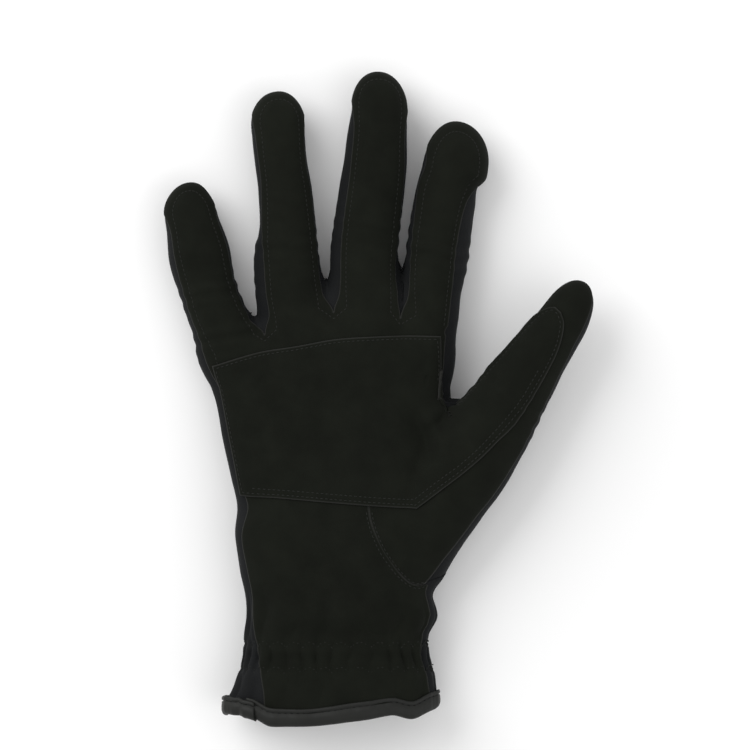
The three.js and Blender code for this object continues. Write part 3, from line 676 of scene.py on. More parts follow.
def palm_front_grid():
    """Targets and bases of the palm leather from the hem to the hidden row: rows ruled between the left seam and
    the line that runs up the right edge, along the thumb's seam and up the index side."""
    v = np.linspace(0, 1, PALM_ROW_COUNT + 1)
    left = palm_edge(v * HIDDEN_FRONT[0], "left")
    right_line = np.vstack(
        [
            palm_edge(np.linspace(0, THUMB_SEAM_ENDS[0], 14), "right"),
            curve_through(in_mm(THUMB_SEAM_FRONT), 60),
            palm_edge(np.linspace(THUMB_SEAM_ENDS[1], HIDDEN_FRONT[-1], 8), "right"),
        ]
    )
    right = even(right_line, PALM_ROW_COUNT)
    stop_x = np.array([left[-1, 0], *KNUCKLE_X[1:4], right[-1, 0]])
    stop_y = np.array([left[-1, 1], *(PALM_LENGTH * row for row in HIDDEN_FRONT[1:4]), right[-1, 1]])
    last = np.stack([comb_columns(stop_x), comb_columns(stop_y)], -1)
    share_last = (last[:, 0] - stop_x[0]) / (stop_x[-1] - stop_x[0])
    share = mix(np.linspace(0, 1, len(last)), share_last, smooth_step(0.5, 1, v)[:, None])
    plan = left[:, None] + (right - left)[:, None] * share[..., None]
    hem_gap = palm_y(np.zeros(len(last)), plan[0, :, 0]) - plan[0, :, 1]
    plan[..., 1] += hem_gap * ((1 - v) ** 5)[:, None]
    plan += (last - plan[-1]) * (v**3)[:, None, None]
    x, y = plan[..., 0], plan[..., 1]
    target = palm_top(x, y)
    return target, palm_core(palm_share(x, y), target, 0.55)


def palm_back_grid():
    """Targets and bases of the back from the hem to the knuckles: turns round the palm's section from the seam at
    the little finger's side, past the underside, to the thumb's side."""
    v = np.linspace(0, 1, PALM_ROW_COUNT + 1)
    at = v[:, None] * comb_columns(HIDDEN_BACK)[None]
    edge = palm_edge(at[:, 0], "left")
    left_turn = 540 - turn_of(edge[:, 0], at[:, 0]) + UNDER_LAP / 2
    right_turn = BACK_EDGE_TABLE.read("turn", at[:, -1])
    stops = [left_turn[-1], *(turn_of(KNUCKLE_X[k], HIDDEN_BACK[k]) for k in (1, 2, 3)), right_turn[-1]]
    last = comb_columns(stops)
    share_last = (last - last[0]) / (last[-1] - last[0])
    share = mix(np.linspace(0, 1, len(last)), share_last, smooth_step(0.4, 1, v)[:, None])
    turn = left_turn[:, None] + (right_turn - left_turn)[:, None] * share
    target = palm_turn_point(at, turn)
    return target, palm_core(at, target, 0.5)


def front_turns(digit, at):
    """Turns where the palm-side leather of a digit begins and ends."""
    return -digit.cut(at, "left"), digit.cut(at, "right")


def back_turns(digit, at):
    """Turns where the back of a digit begins and ends, round its underside. It runs on under the palm-side leather
    where there is no fourchette between them, and round the tip."""
    left, right = 360 - digit.back_cut(at, "left"), digit.back_cut(at, "right")
    front_left, front_right = 360 - digit.cut(at, "left"), digit.cut(at, "right")
    if digit.name in ("little", "thumb"):
        left = front_left + UNDER_LAP
    if digit.name in ("index", "thumb"):
        right = front_right - UNDER_LAP
    near_tip = smooth_step(digit.tip_start - 0.1, digit.tip_start, at)
    lap = UNDER_LAP * near_tip - NO_LIMIT * (1 - near_tip)
    return np.maximum(left, front_left + lap), np.minimum(right, front_right - lap)


def tongue(digit, turns, starts, shares):
    """Targets and bases of one leather tongue of a digit, and how far each row lies from the tongue's beginning. The
    first rows follow the digit to the start of its tip and the last ones close over it."""
    begin = mix(starts[0], starts[1], shares)
    body = np.linspace(0, 1, BODY_ROWS + 1)[:, None]
    arc = np.radians(90) * np.arange(1, TIP_ROWS + 1)[:, None] / TIP_ROWS
    tip = digit.tip_start + (1 - digit.tip_start) * np.sin(arc) ** (2 / TIP_POWER)
    at = np.vstack([begin + (digit.tip_start - begin) * body, tip + 0 * begin])
    left, right = turns(digit, at)
    target = digit.point(at, mix(left, right, shares))
    base = digit.point(np.minimum(at, digit.tip_start), np.zeros_like(at), 0.0)
    return target, base, (at - begin) * digit.length


def drawn(points, place, edge, weight):
    """A tongue's points with the start of one edge drawn to a place, and the others after it by their weight."""
    return points + (place - points[:1, edge]) * weight[..., None]


def led(first, points, rows):
    """A tongue's points, after rows that lead to them from given first points."""
    lead = np.linspace(0, 1, rows, endpoint=False)[:, None, None]
    return np.concatenate([mix(first, points[0], lead), points])


def finger_grids(turns, palm_target, palm_base, back):
    """The four fingers of the palm leather or of the back, from the last row of the palm's grid. At a notch a
    finger's edge is drawn to its bottom by a weight that fades along and across the finger."""
    shares = spread(FINGER_COLUMNS)
    grids = []
    for k, name in enumerate(FINGERS):
        digit = DIGITS[name]
        starts = [digit.local(*notch_point(i, back)[:2])[0] for i in (k, k + 1)]
        if k == 0:
            starts[0] = OUTER_STARTS[0]
        if k == 3:
            starts[1] = OUTER_STARTS[1]
        target, base, along = tongue(digit, turns, starts, shares)
        fade = 1 - smooth_step(0, NOTCH_PULL, along)
        for i, edge, weight in ((k, 0, (1 - shares) ** 5), (k + 1, -1, shares**5)):
            if 0 < i < len(FINGERS):
                notch = notch_point(i, back)
                target = drawn(target, notch, edge, fade * weight)
                base = drawn(base, np.array([*notch[:2], BASE_HEIGHT]), edge, fade * weight)
        span = slice(k * FINGER_COLUMNS, (k + 1) * FINGER_COLUMNS + 1)
        grids.append((led(palm_target[-1, span], target, ROOT_ROWS), led(palm_base[-1, span], base, ROOT_ROWS)))
    return grids


def thumb_grid(turns, start, first_target, first_base):
    """One side of the thumb, from given first points to its section at a share of its length and over its tip."""
    shares = np.linspace(0, 1, len(first_target))
    target, base, _ = tongue(DIGITS["thumb"], turns, (start, start), shares)
    return led(first_target, target, THUMB_ROOT_ROWS), led(first_base, base, THUMB_ROOT_ROWS)


def thumb_front_grid():
    """The thumb's front from its seam in the palm. Each column leads from a point of the seam, whose first end lies
    at the crotch, to its place round the thumb."""
    line = curve_through(in_mm(THUMB_SEAM_FRONT[::-1]), 2 * FINGER_COLUMNS)
    first_base = np.column_stack([line, np.full(len(line), BASE_HEIGHT)])
    return thumb_grid(front_turns, 0.3, palm_top(line[:, 0], line[:, 1]), first_base)


def thumb_back_grid():
    """The thumb's back from its seam in the back of the hand, which follows the edge of that back from the crotch to
    the wrist and rises to the palm side at both ends."""
    at = np.linspace(*THUMB_BACK_SPAN, 2 * FINGER_COLUMNS + 1)
    turn = BACK_EDGE_TABLE.read("turn", at) + UNDER_LAP
    turn = mix(turn, THUMB_BACK_RISE, np.maximum(1 - smooth_step(0.3, 0.34, at), smooth_step(0.75, 0.78, at)))
    first_target = palm_turn_point(at, turn)
    return thumb_grid(back_turns, 0.2, first_target, palm_core(at, first_target, 0.6))


def fourchette_grid(k):
    """Strip between two fingers: down the right side of the left finger, round the web and up the left side of the
    right finger. Columns turn from under the edge of the palm leather to under the edge of the back. Round the web
    they sink by the power of a sine to a line that dips under both leathers' notches."""
    a, b = DIGITS[FINGERS[k - 1]], DIGITS[FINGERS[k]]
    notch, back_notch, web_y = (PALM_LENGTH * share for share in KNUCKLES[k])
    c = np.linspace(0, 1, STRIP_COLUMNS + 1)
    sides = []
    for digit, side, sign in ((a, "right", 1), (b, "left", -1)):
        low = digit.local(KNUCKLE_X[k], web_y)[0] + WEB_START / digit.length
        at = np.linspace(digit.tip_start + STRIP_TOP, low, STRIP_ROWS + 1)[:, None]
        front = digit.cut(at, side) - UNDER_LAP
        under = digit.back_cut(at, side) + UNDER_LAP
        turn = sign * mix(front, under, c)
        sides.append((digit.point(at, turn), digit.point(at, 0 * turn, 0.0)))
    (target_a, base_a), (target_b, base_b) = sides
    q = np.linspace(0, 1, WEB_ROWS + 2)[1:-1, None, None]
    bottom = mix(target_a[-1], target_b[-1], (1 - np.cos(math.pi * q)) / 2)
    front_dip = (web_y - notch + NOTCH_LAP) * (1 - smooth_step(0, 0.42, c))
    back_dip = (web_y - back_notch + NOTCH_LAP) * smooth_step(0.62, 1, c)
    low_y = web_y - front_dip - back_dip
    bottom[..., 1] -= (bottom[..., 1] - low_y) * np.sin(math.pi * q[..., 0]) ** 0.8
    inward = np.concatenate([np.cos(math.pi * q), np.sin(math.pi * q), 0 * q], -1)
    deep = 1.2 + 6.3 * np.sin(math.pi * c) ** 0.7
    core = bottom - deep[:, None] * inward
    core[..., 2] = mix(base_a[-1, :, 2], base_b[-1, :, 2], q[..., 0])
    core = mix(mix(base_a[-1], base_b[-1], q), core, np.clip(np.sin(math.pi * q) * 2.5, 0, 1))
    target = np.concatenate([target_a, bottom, target_b[::-1]])
    base = np.concatenate([base_a, core, base_b[::-1]])
    return target, base


def over(x, y, deep=4.0):
    """Targets and bases of lines that rise through places in plan. A base near the form's side is moved inwards, so
    that its line leaves through the upper side."""
    on_thumb = smooth_step(0.3, 0.5, x / PALM_WIDTH)
    middle = np.stack([x, y, 0 * x + mix(BASE_HEIGHT, THUMB_BASE_HEIGHT, on_thumb)], -1)
    away = slope(middle)
    away[..., 2] = 0
    base = middle - away * np.clip(form(middle) + deep, 0, None)[..., None]
    return middle + np.array([0, 0, 8.0]), base


def patch_grid():
    """The patch: columns run from its upper edge to its lower one. Over the palm they are ruled in plan, and over
    the thumb they turn round its section."""
    across, side, thumb = PATCH_COLUMNS
    upper = np.vstack(
        [
            curve_through(in_mm(PATCH_UPPER), across),
            curve_through(in_mm(PATCH_SIDE), side)[1:],
            curve_through(in_mm(PATCH_THUMB_IN), thumb)[1:],
        ]
    )
    lower_thumb = curve_through(in_mm(PATCH_THUMB_OUT), side + thumb)
    lower = np.vstack([curve_through(in_mm(PATCH_LOWER), across), lower_thumb[1:]])
    plan = mix(upper, lower, spread(PATCH_ROWS)[:, None, None])
    x, y = plan[..., 0], plan[..., 1]
    target, base = over(x, y)
    digit = DIGITS["thumb"]
    at, aside = digit.local(x, y)
    bend, left, right, _, _ = digit.section(at)
    half = np.where(aside < bend, left, right)
    turn = np.degrees(np.arcsin(np.clip((aside - bend) / half, -STEEPEST, STEEPEST)))
    column = np.arange(len(upper)) - across - side
    on_thumb = smooth_step(thumb * 0.15, thumb * 0.45, column)[None, :, None]
    target = mix(target, digit.point(at, turn), on_thumb)
    return target, mix(base, digit.point(at, 0 * turn, 0.0), on_thumb)


class Sheet:
    """A piece of the glove before it gets its thickness: welded grids with their points on the form, the outward
    direction there and the distance of each point to the sheet's edge."""

    def __init__(self, grids, layer):
        points, hints, faces, first = [], [], [], 0
        for target, base in grids:
            rows, columns = target.shape[:2]
            index = first + np.arange(rows * columns).reshape(rows, columns)
            quads = np.stack([index[:-1, :-1], index[:-1, 1:], index[1:, 1:], index[1:, :-1]], -1)
            points.append(march(base.reshape(-1, 3), target.reshape(-1, 3)))
            hints.append((target - base).reshape(-1, 3))
            faces.append(quads.reshape(-1, 4))
            first += rows * columns
        points, hints, faces = np.vstack(points), np.vstack(hints), np.vstack(faces)
        keys = np.round(points * WELD_STEPS).astype(np.int64)
        _, keep, new = np.unique(keys, axis=0, return_index=True, return_inverse=True)
        self.points, hints, faces = points[keep], hints[keep], new.reshape(-1)[faces]
        faces = faces[(faces == np.roll(faces, 1, 1)).sum(1) < 2]
        self.faces = self.turned(faces, hints)
        self.normals = slope(self.points)
        self.lift, thickness = LAYERS[layer]
        self.thick = size(thickness)
        self.edge = self.edge_distance()

    def turned(self, faces, hints):
        """The faces with their order turned so that they look outwards."""
        p = self.points[faces]
        look = np.cross(p[:, 2] - p[:, 0], p[:, 3] - p[:, 1])
        wrong = (look * hints[faces].mean(1)).sum(1) < 0
        return faces[:, ::-1] if wrong.mean() > 0.5 else faces

    def edge_distance(self):
        """Distance of each point to the nearest edge of the sheet, up to 12 mm."""
        sides = np.sort(np.stack([self.faces, np.roll(self.faces, -1, 1)], -1).reshape(-1, 2), 1)
        sides = sides[sides[:, 0] != sides[:, 1]]
        pairs, counts = np.unique(sides, axis=0, return_counts=True)
        return nearest(self.points, self.points[np.unique(pairs[counts == 1])])


def nearest(points, line, reach=12.0, chunk=2000):
    """Distance of each point to the nearest point of a line, up to reach, worked out in chunks."""
    out = np.full(len(points), reach)
    low, high = line.min(0) - reach, line.max(0) + reach
    near = np.nonzero(((points > low) & (points < high)).all(1))[0]
    line32 = line.astype(np.float32)
    for i in range(0, len(near), chunk):
        part = near[i : i + chunk]
        gap = np.linalg.norm(points[part, None].astype(np.float32) - line32, axis=2)
        out[part] = np.minimum(gap.min(1), reach)
    return out


def palm_turn(points):
    """Turn of points round the palm's section, in radians from the top."""
    x, y, z = np.moveaxis(points, -1, 0)
    centre, half, middle, depth = palm_section(palm_share(x, y))
    return np.arctan2((x - centre) / half, (z - middle) / depth)


def rib_phase(points):
    """Phase of the gathers round the cuff: even round the section, with slow waves that make them uneven."""
    turn = palm_turn(points)
    wander = 0.5 * np.sin(3 * turn + 1.3) + 0.35 * np.sin(7 * turn + points[:, 1] * 0.05)
    return RIB_COUNT * turn / 2 + wander + 0.25 * np.sin(2 * turn - 0.7)


def gathers(points):
    """Height of the gathers that the elastic draws in the cuff: puffs between narrow creases round the cuff, as the
    power of a sine, highest between the two rows of elastic, drawn in along each row and running out in folds."""
    y = points[:, 1]
    turn = palm_turn(points)
    phase = rib_phase(points) + 0.4 * np.sin(0.37 * y + 5 * turn)
    puff = np.abs(np.sin(phase)) ** 0.75 - 0.55
    folds = np.abs(np.sin(phase / 2 + 0.9)) ** 0.9 - 0.6
    uneven = 0.7 + 0.3 * np.sin(5 * turn + 0.4) * np.cos(2 * turn + 2.1)
    high, low = ELASTIC_ROWS
    between = np.exp(-(((y - (high + low) / 2) / 5.2) ** 2))
    below = smooth_step(low + 2, low - 5, y) * smooth_step(3, 9, y)
    above = smooth_step(high - 1, high + 6, y) * (1 - smooth_step(high + 8, high + 24, y))
    rows = sum(np.exp(-((y - row) ** 2)) for row in ELASTIC_ROWS)
    swell = size("gather_height") * puff * between + FOLD_HEIGHT * folds * (below + above)
    return uneven * swell - ROW_DEPTH * rows


def unevenness(points):
    """Soft dents and swells of handled leather: a sum of waves in several directions, in millimetres."""
    return sum(high * np.sin(points @ np.array(wave) + start) for *wave, start, high in WAVES)


def creases(points):
    """Short wrinkles across the fingers at their joints and on the thumb's ball: waves along the digit under a bell
    shape round each joint."""
    height = np.zeros(len(points))
    for name, joint, wide, high in CREASES:
        digit = DIGITS[name]
        at, side = digit.local(points[:, 0], points[:, 1])
        near = np.exp(-(((at - joint) / wide) ** 2)) * np.exp(-((side / (0.75 * digit.width)) ** 4))
        bow = side * 0.09 + 0.35 * np.sin(side * 0.4)
        height += high * near * np.sin((at - joint) * digit.length * 1.15 + bow)
    return height


def relief(points):
    """All the soft relief of the glove's surface, in millimetres along its outward direction."""
    return gathers(points) + unevenness(points) + creases(points)


def rested(points, lowest=0.0):
    """Points with their underside flattened on the plane they rest on: z becomes half of z plus the root of
    z^2 + k^2."""
    out = points.copy()
    z = out[:, 2] - lowest
    out[:, 2] = lowest + 0.5 * (z + np.sqrt(z * z + FLOOR_SOFT**2))
    return out


def outer_face(sheet, seams=None, lowest=0.0):
    """Points of a sheet's outer face: lifted off the form by its layer, rounded down towards its edge and drawn in
    round each stitch by a bell shape."""
    droop = 0.32 * sheet.thick * np.exp(-sheet.edge / 0.5)
    lift = sheet.lift - droop + relief(sheet.points)
    if seams is not None:
        lift -= PUCKER * np.exp(-(nearest(sheet.points, seams) ** 2))
    return rested(sheet.points + sheet.normals * lift[:, None], lowest)


def to_frame(points):
    """Points from the glove's plan in millimetres to the frame in metres."""
    return (points - PLAN_ORIGIN) * MM


def add_mesh(name, points, faces, caps=None, edge=None):
    """A mesh object from whole arrays: quads, of which some have one doubled corner and become triangles, and faces
    over open ends. Each point may carry its distance to the edge."""
    mesh = bpy.data.meshes.new(name)
    doubled = faces == np.roll(faces, 1, 1)
    narrow = doubled.any(1)
    triangles = faces[narrow][~doubled[narrow]].reshape(-1, 3)
    ends = [] if caps is None else caps.tolist()
    mesh.from_pydata(to_frame(points).tolist(), [], faces[~narrow].tolist() + triangles.tolist() + ends)
    mesh.polygons.foreach_set("use_smooth", np.ones(len(mesh.polygons), bool))
    if edge is not None:
        mesh.attributes.new("edge", "FLOAT", "POINT").data.foreach_set("value", edge.astype(np.float32))
    mesh.update()
    piece = bpy.data.objects.new(name, mesh)
    bpy.context.scene.collection.objects.link(piece)
    return piece


def thicken(piece, thick):
    """Gives a sheet its thickness inwards from its outer face."""
    modifier = piece.modifiers.new("thickness", "SOLIDIFY")
    modifier.thickness = thick * MM
    modifier.offset = -1
    modifier.use_even_offset = False
    modifier.use_rim = True


def finish(piece, material, node):
    """Gives a piece its material and hands it to the frame, in place of a solid where it stands for one."""
    piece.data.materials.append(material)
    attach(piece, "root")
    if node:
        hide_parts(node)


def sheet_piece(node, grids, layer, look, seams=None, lowest=0.0):
    """A finished leather or cloth piece, shown for a node of the part, in one of the looks."""
    sheet = Sheet(grids, layer)
    piece = add_mesh("sewn_" + node, outer_face(sheet, seams, lowest), sheet.faces, edge=sheet.edge)
    thicken(piece, sheet.thick)
    finish(piece, material(look), node)


def binding_ring(turn):
    """The hem's line at turns from the top, the direction outwards from it, how far the lap has risen there, and the
    swell and the wave that run along the binding."""
    at = np.zeros_like(turn)
    ring = palm_turn_point(at, np.degrees(turn))
    ahead = palm_turn_point(at, np.degrees(turn) + 0.5) - palm_turn_point(at, np.degrees(turn) - 0.5)
    out = np.stack([-ahead[:, 2], 0 * turn, ahead[:, 0]], -1)
    out /= np.linalg.norm(out, axis=1, keepdims=True)
    out *= np.sign((out * (ring - ring.mean(0))).sum(1).mean())
    lap_start = BINDING_START + 2 * math.pi
    over = smooth_step(lap_start - 1.2 * BINDING_LAP, lap_start - 0.2 * BINDING_LAP, turn)
    swell = 0.03 * np.sin(turn * 61) + 0.1 * np.sin(turn * 23 + 1) + 0.12 * np.sin(turn * 9)
    wave = 0.28 * np.sin(turn * 5 + 0.6) + 0.18 * np.sin(turn * 13)
    return ring, out, over, swell, wave


def binding_turns(start, stop, count):
    """Turns round the hem between two shares of the binding's length."""
    return BINDING_START + (2 * math.pi + BINDING_LAP) * np.linspace(start, stop, count)


def tube_faces(index):
    """Quads between the rings of tubes, and faces over their ends: index holds the points' numbers by tube, ring
    and place round the ring."""
    beside = np.roll(index, -1, 2)
    quads = np.stack([index[:, :-1], beside[:, :-1], beside[:, 1:], index[:, 1:]], -1).reshape(-1, 4)
    return quads, np.concatenate([index[:, 0, ::-1], index[:, -1]])


def binding_mesh():
    """The binding: a folded profile carried round the hem. Its last stretch laps over its first one, so it rises
    there, and small swells run along it between the stitches."""
    turn = binding_turns(0, 1, BINDING_STEPS + 1)
    ring, out, over, swell, wave = binding_ring(turn)
    reach, height = np.array(BINDING_PROFILE).T
    outer = reach > 0
    reach = reach * (1 + LAP_RISE * over[:, None] * outer) + swell[:, None] * outer
    height = height * (1 + 0.04 * np.sin(turn * 7)[:, None]) + wave[:, None] - LAP_DROP * over[:, None]
    points = ring[:, None] + out[:, None] * reach[..., None]
    points[..., 1] += height
    faces, caps = tube_faces(np.arange(reach.size).reshape(1, *reach.shape))
    return rested(points.reshape(-1, 3), 0.02), faces, caps


def spaced(line, pitch):
    """Places at an even pitch along a line, and the line's direction there."""
    at = np.arange(0.5 * pitch, travelled(line)[-1], pitch)
    ahead = line_at(line, at + 0.35 * pitch) - line_at(line, at - 0.35 * pitch)
    return line_at(line, at), ahead / np.linalg.norm(ahead, axis=1, keepdims=True)


def joined(rows):
    """Places and directions of several rows as one."""
    return (np.vstack(part) for part in zip(*rows))


def raised(plan):
    """Points of the form's upper side over a plan line."""
    target, base = over(plan[:, 0], plan[:, 1])
    return march(base, target)


def finger_plan(k):
    """Plan line of the stitches round one finger's front: up its left side inside the leather's edge, round the tip
    as a superellipse and down its right side."""
    digit = DIGITS[FINGERS[k]]
    parts, reach = {}, {}
    for side, sign, inset, i in (("left", -1, INSET, k), ("right", 1, RIGHT_INSET, k + 1)):
        start = digit.local(*notch_point(i)[:2])[0] + 0.02
        at = np.linspace(start, digit.tip_start, 50)
        bend, left, right, _, _ = digit.section(at)
        half = left if side == "left" else right
        away = half * np.sin(np.radians(np.minimum(digit.cut(at, side), 90))) - inset
        parts[side] = np.stack([at, bend + sign * away], -1)
        reach[side] = away[-1]
    arc = np.radians(np.linspace(180, 0, 40)[1:-1])
    power = 2 / TIP_POWER
    at = digit.tip_start + (1 - digit.tip_start - INSET / digit.length) * np.sin(arc) ** power
    away = np.where(np.cos(arc) < 0, reach["left"], reach["right"])
    away = away * np.sign(np.cos(arc)) * np.abs(np.cos(arc)) ** power
    tip = np.stack([at, digit.section(at)[0] + away], -1)
    line = np.vstack([parts["left"], tip, parts["right"][::-1]])
    return digit.root + line[:, :1] * digit.length * digit.along + line[:, 1:] * digit.across


def finger_stitches():
    """Places of the stitches along the comb of fingers, from the little finger's side to the index side."""
    parts = [palm_edge(np.linspace(0.885, 0.925, 6), "left") + np.array([INSET, 0])]
    for k in range(len(FINGERS)):
        parts.append(finger_plan(k))
        if k < 3:
            parts.append(notch_point(k + 1)[None, :2] - np.array([0, 1.25 * INSET]))
    place, ahead = spaced(np.vstack(parts), size("stitch_pitch"))
    return raised(place), ahead, LAYERS["suede"][0]


def inset_line(outline, inset, count=900):
    """A closed outline's points moved inwards, without those that lie nearer to another part of it, and how far
    along the outline each began."""
    closed = np.vstack([outline, outline[:1]])
    dense = even(closed, count)[:-1]
    far = travelled(closed)[-1] * np.arange(count) / count
    ahead = np.roll(dense, -1, 0) - np.roll(dense, 1, 0)
    inward = np.stack([ahead[:, 1], -ahead[:, 0]], -1) / np.linalg.norm(ahead, axis=1, keepdims=True)
    moved = dense + inward * inset
    clear = np.linalg.norm(moved[:, None] - dense[None], axis=2).min(1) > inset * 0.96
    return moved[clear], far[clear]


def patch_stitches():
    """Places of the stitches inside the patch's edge, with a second row along its lower edge and the thumb."""
    upper = np.vstack([curve_through(in_mm(part), 120) for part in (PATCH_UPPER, PATCH_SIDE, PATCH_THUMB_IN)])
    lower = [curve_through(in_mm(part), 160)[::-1] for part in (PATCH_THUMB_OUT, PATCH_LOWER)]
    outline = np.vstack([upper, *lower])
    first, _ = inset_line(outline, PATCH_INSETS[0])
    second, far = inset_line(outline, PATCH_INSETS[1])
    low = second[:, 1] < 0.86 * PALM_LENGTH
    clear = second[:, 0] > PATCH_LOWER[0][0] * PALM_WIDTH + 4
    second = second[(far > travelled(upper)[-1]) & low & clear]
    pitch = size("stitch_pitch")
    place, ahead = joined([spaced(np.vstack([first, first[:1]]), pitch), spaced(second, pitch)])
    seen = np.linalg.norm(place - in_mm(THUMB_SEAM_FRONT)[-1], axis=1) > CROTCH_CLEAR
    return raised(place[seen]), ahead[seen], LAYERS["patch"][0]


def thumb_stitches():
    """Places of the two rows of stitches beside the thumb's seam, below the patch."""
    line = curve_through(in_mm(THUMB_SEAM_FRONT), 200)
    ahead = np.gradient(line, axis=0)
    aside = np.stack([-ahead[:, 1], ahead[:, 0]], -1) / np.linalg.norm(ahead, axis=1, keepdims=True)
    edge = in_mm(PATCH_LOWER + PATCH_THUMB_OUT[1:4])
    seen = line[:, 1] < np.interp(line[:, 0], edge[:, 0], edge[:, 1]) - 1.2
    place, ahead = joined(spaced((line + aside * step)[seen], size("stitch_pitch")) for step in (-1.0, 1.0))
    return raised(place), ahead, LAYERS["suede"][0]


def elastic_stitches():
    """Places of the stitches of the two rows of elastic round the cuff, which arch over each gather."""
    rows = []
    for row in ELASTIC_ROWS:
        turn = np.linspace(-180, 180, 1500)
        at = np.full_like(turn, row / PALM_LENGTH)
        for _ in range(2):
            ring = palm_turn_point(at, turn)
            arch = ARCH_HEIGHT * (np.abs(np.sin(rib_phase(ring))) ** 0.8 - 0.5)
            at = palm_share(ring[:, 0], row + arch)
        ring = palm_turn_point(at, turn)
        rows.append(spaced(march(palm_core(at, ring, 0.5), ring), ELASTIC_PITCH))
    place, ahead = joined(rows)
    seam = palm_edge(place[:, 1] / PALM_LENGTH, "left")[:, 0]
    front = (place[:, 2] > 12) & (place[:, 0] > seam)
    return place, ahead, np.where(front, LAYERS["suede"][0], LAYERS["back"][0]) + 0.03


def stitch_mesh(place, ahead, up):
    """Stitches as short rods: rings of six points whose width follows the root of 1 - t^4 along the stitch, bowed
    down towards both ends, with a face over each end."""
    t = np.array([-0.98, -0.8, -0.4, 0.4, 0.8, 0.98])
    width = size("stitch_width") / 2 * np.sqrt(1 - t**4)
    ahead = ahead - up * (ahead * up).sum(1, keepdims=True)
    ahead = ahead / np.linalg.norm(ahead, axis=1, keepdims=True)
    aside = np.cross(ahead, up)
    turn = np.radians(60) * np.arange(6)
    rim = aside[:, None, None] * np.cos(turn)[:, None] + up[:, None, None] * np.sin(turn)[:, None]
    along = ahead[:, None] * (size("stitch_length") / 2 * t)[:, None]
    points = (place[:, None] + along - up[:, None] * (0.22 * t**2)[:, None])[:, :, None]
    points = points + rim * width[:, None, None]
    faces, caps = tube_faces(np.arange(points[..., 0].size).reshape(len(place), len(t), 6))
    return points.reshape(-1, 3), faces, caps


def stitch_piece(name, place, ahead, lift):
    """A finished row of stitches on a layer of that height over the form."""
    up = slope(place)
    if ahead.shape[1] == 2:
        ahead = np.column_stack([ahead, -(ahead * up[:, :2]).sum(1) / np.maximum(up[:, 2], 0.2)])
    height = lift + relief(place) - STITCH_SINK
    piece = add_mesh(name, *stitch_mesh(rested(place + up * height[:, None]), ahead, up))
    finish(piece, material("thread"), None)


def hem_stitches():
    """Mesh of the row of stitches in the binding's groove, round the hem."""
    ring, out, over, swell, wave = binding_ring(binding_turns(0.004, 0.996, 700))
    line = ring + out * (HEM_STITCH_REACH * (1 + LAP_RISE * over) + swell)[:, None]
    line[:, 1] += HEM_STITCH_HEIGHT + wave - LAP_DROP * over
    place, ahead = spaced(line, HEM_PITCH)
    up = np.cross(ahead, np.array([0.0, 1.0, 0.0]))
    up *= np.sign((up * (place - place.mean(0))).sum(1, keepdims=True))
    return stitch_mesh(rested(place), ahead, up / np.linalg.norm(up, axis=1, keepdims=True))


def feed(tree, socket, value):
    """Gives a socket a value, or a link where the value is another socket's."""
    if isinstance(value, Value):
        tree.links.new(value.socket, socket)
    else:
        socket.default_value = value


def socket_of(sockets, key):
    """The socket with that identifier, or else with that name, whose blanks the key has as underscores."""
    return next((s for s in sockets if s.identifier == key), None) or sockets[key.replace("_", " ")]


class Value:
    """A socket of a node tree with its arithmetic: each operation adds a Math node."""

    def __init__(self, tree, socket):
        self.tree, self.socket = tree, socket

    def math(self, operation, *others):
        """The result of a Math node on this value and others."""
        node = self.tree.nodes.new("ShaderNodeMath")
        node.operation = operation
        for i, value in enumerate((self, *others)):
            feed(self.tree, node.inputs[i], value)
        return Value(self.tree, node.outputs[0])

    def __add__(self, other):
        return self.math("ADD", other)

    __radd__ = __add__

    def __mul__(self, other):
        return self.math("MULTIPLY", other)

    __rmul__ = __mul__

    def __sub__(self, other):
        return self.math("SUBTRACT", other)

    def __rsub__(self, other):
        return (self * -1) + other

    def clamp(self):
        """The value held between 0 and 1."""
        return self.math("MAXIMUM", 0.0).math("MINIMUM", 1.0)


class Finish:
    """A material and the nodes it is made of."""

    def __init__(self, name):
        self.material = bpy.data.materials.new(name)
        self.material.use_nodes = True
        self.tree = self.material.node_tree
        self.shader = self.tree.nodes["Principled BSDF"]

    def node(self, kind, settings=None, output=None, **sockets):
        """A node with its settings, the values or links of its sockets and one of its outputs."""
        node = self.tree.nodes.new(kind)
        for key, value in (settings or {}).items():
            setattr(node, key, value)
        for key, value in sockets.items():
            feed(self.tree, socket_of(node.inputs, key), value)
        return Value(self.tree, socket_of(node.outputs, output) if output else node.outputs[0])

    def place(self):
        """Object coordinates, in metres."""
        return self.node("ShaderNodeTexCoord", output="Object")

    def noise(self, grain, detail=3.0, rough=0.55):
        """Noise whose grains have that size, in millimetres."""
        sockets = {"Vector": self.place(), "Scale": 1 / (grain * MM), "Detail": detail, "Roughness": rough}
        return self.node("ShaderNodeTexNoise", output="Fac", **sockets)

    def blend(self, share, a, b):
        """A colour between a and b by a share."""
        sockets = {"Factor_Float": share, "A_Color": a, "B_Color": b}
        return self.node("ShaderNodeMix", {"data_type": "RGBA"}, "Result_Color", **sockets)

    def attribute(self, name):
        """A number that each point of the mesh carries."""
        return self.node("ShaderNodeAttribute", {"attribute_name": name}, "Fac")

    def bump(self, height, strength, distance):
        """A bump's normal from a height in shares of a distance in millimetres."""
        return self.node("ShaderNodeBump", Height=height, Strength=strength, Distance=distance * MM)

    def set(self, **sockets):
        """Values or links of the shader's own sockets, and the material."""
        for key, value in sockets.items():
            feed(self.tree, socket_of(self.shader.inputs, key), value)
        return self.material


def scaled(colour, level):
    """A colour made darker or paler by a factor."""
    return (*(min(c * level, 1) for c in colour[:3]), 1.0)


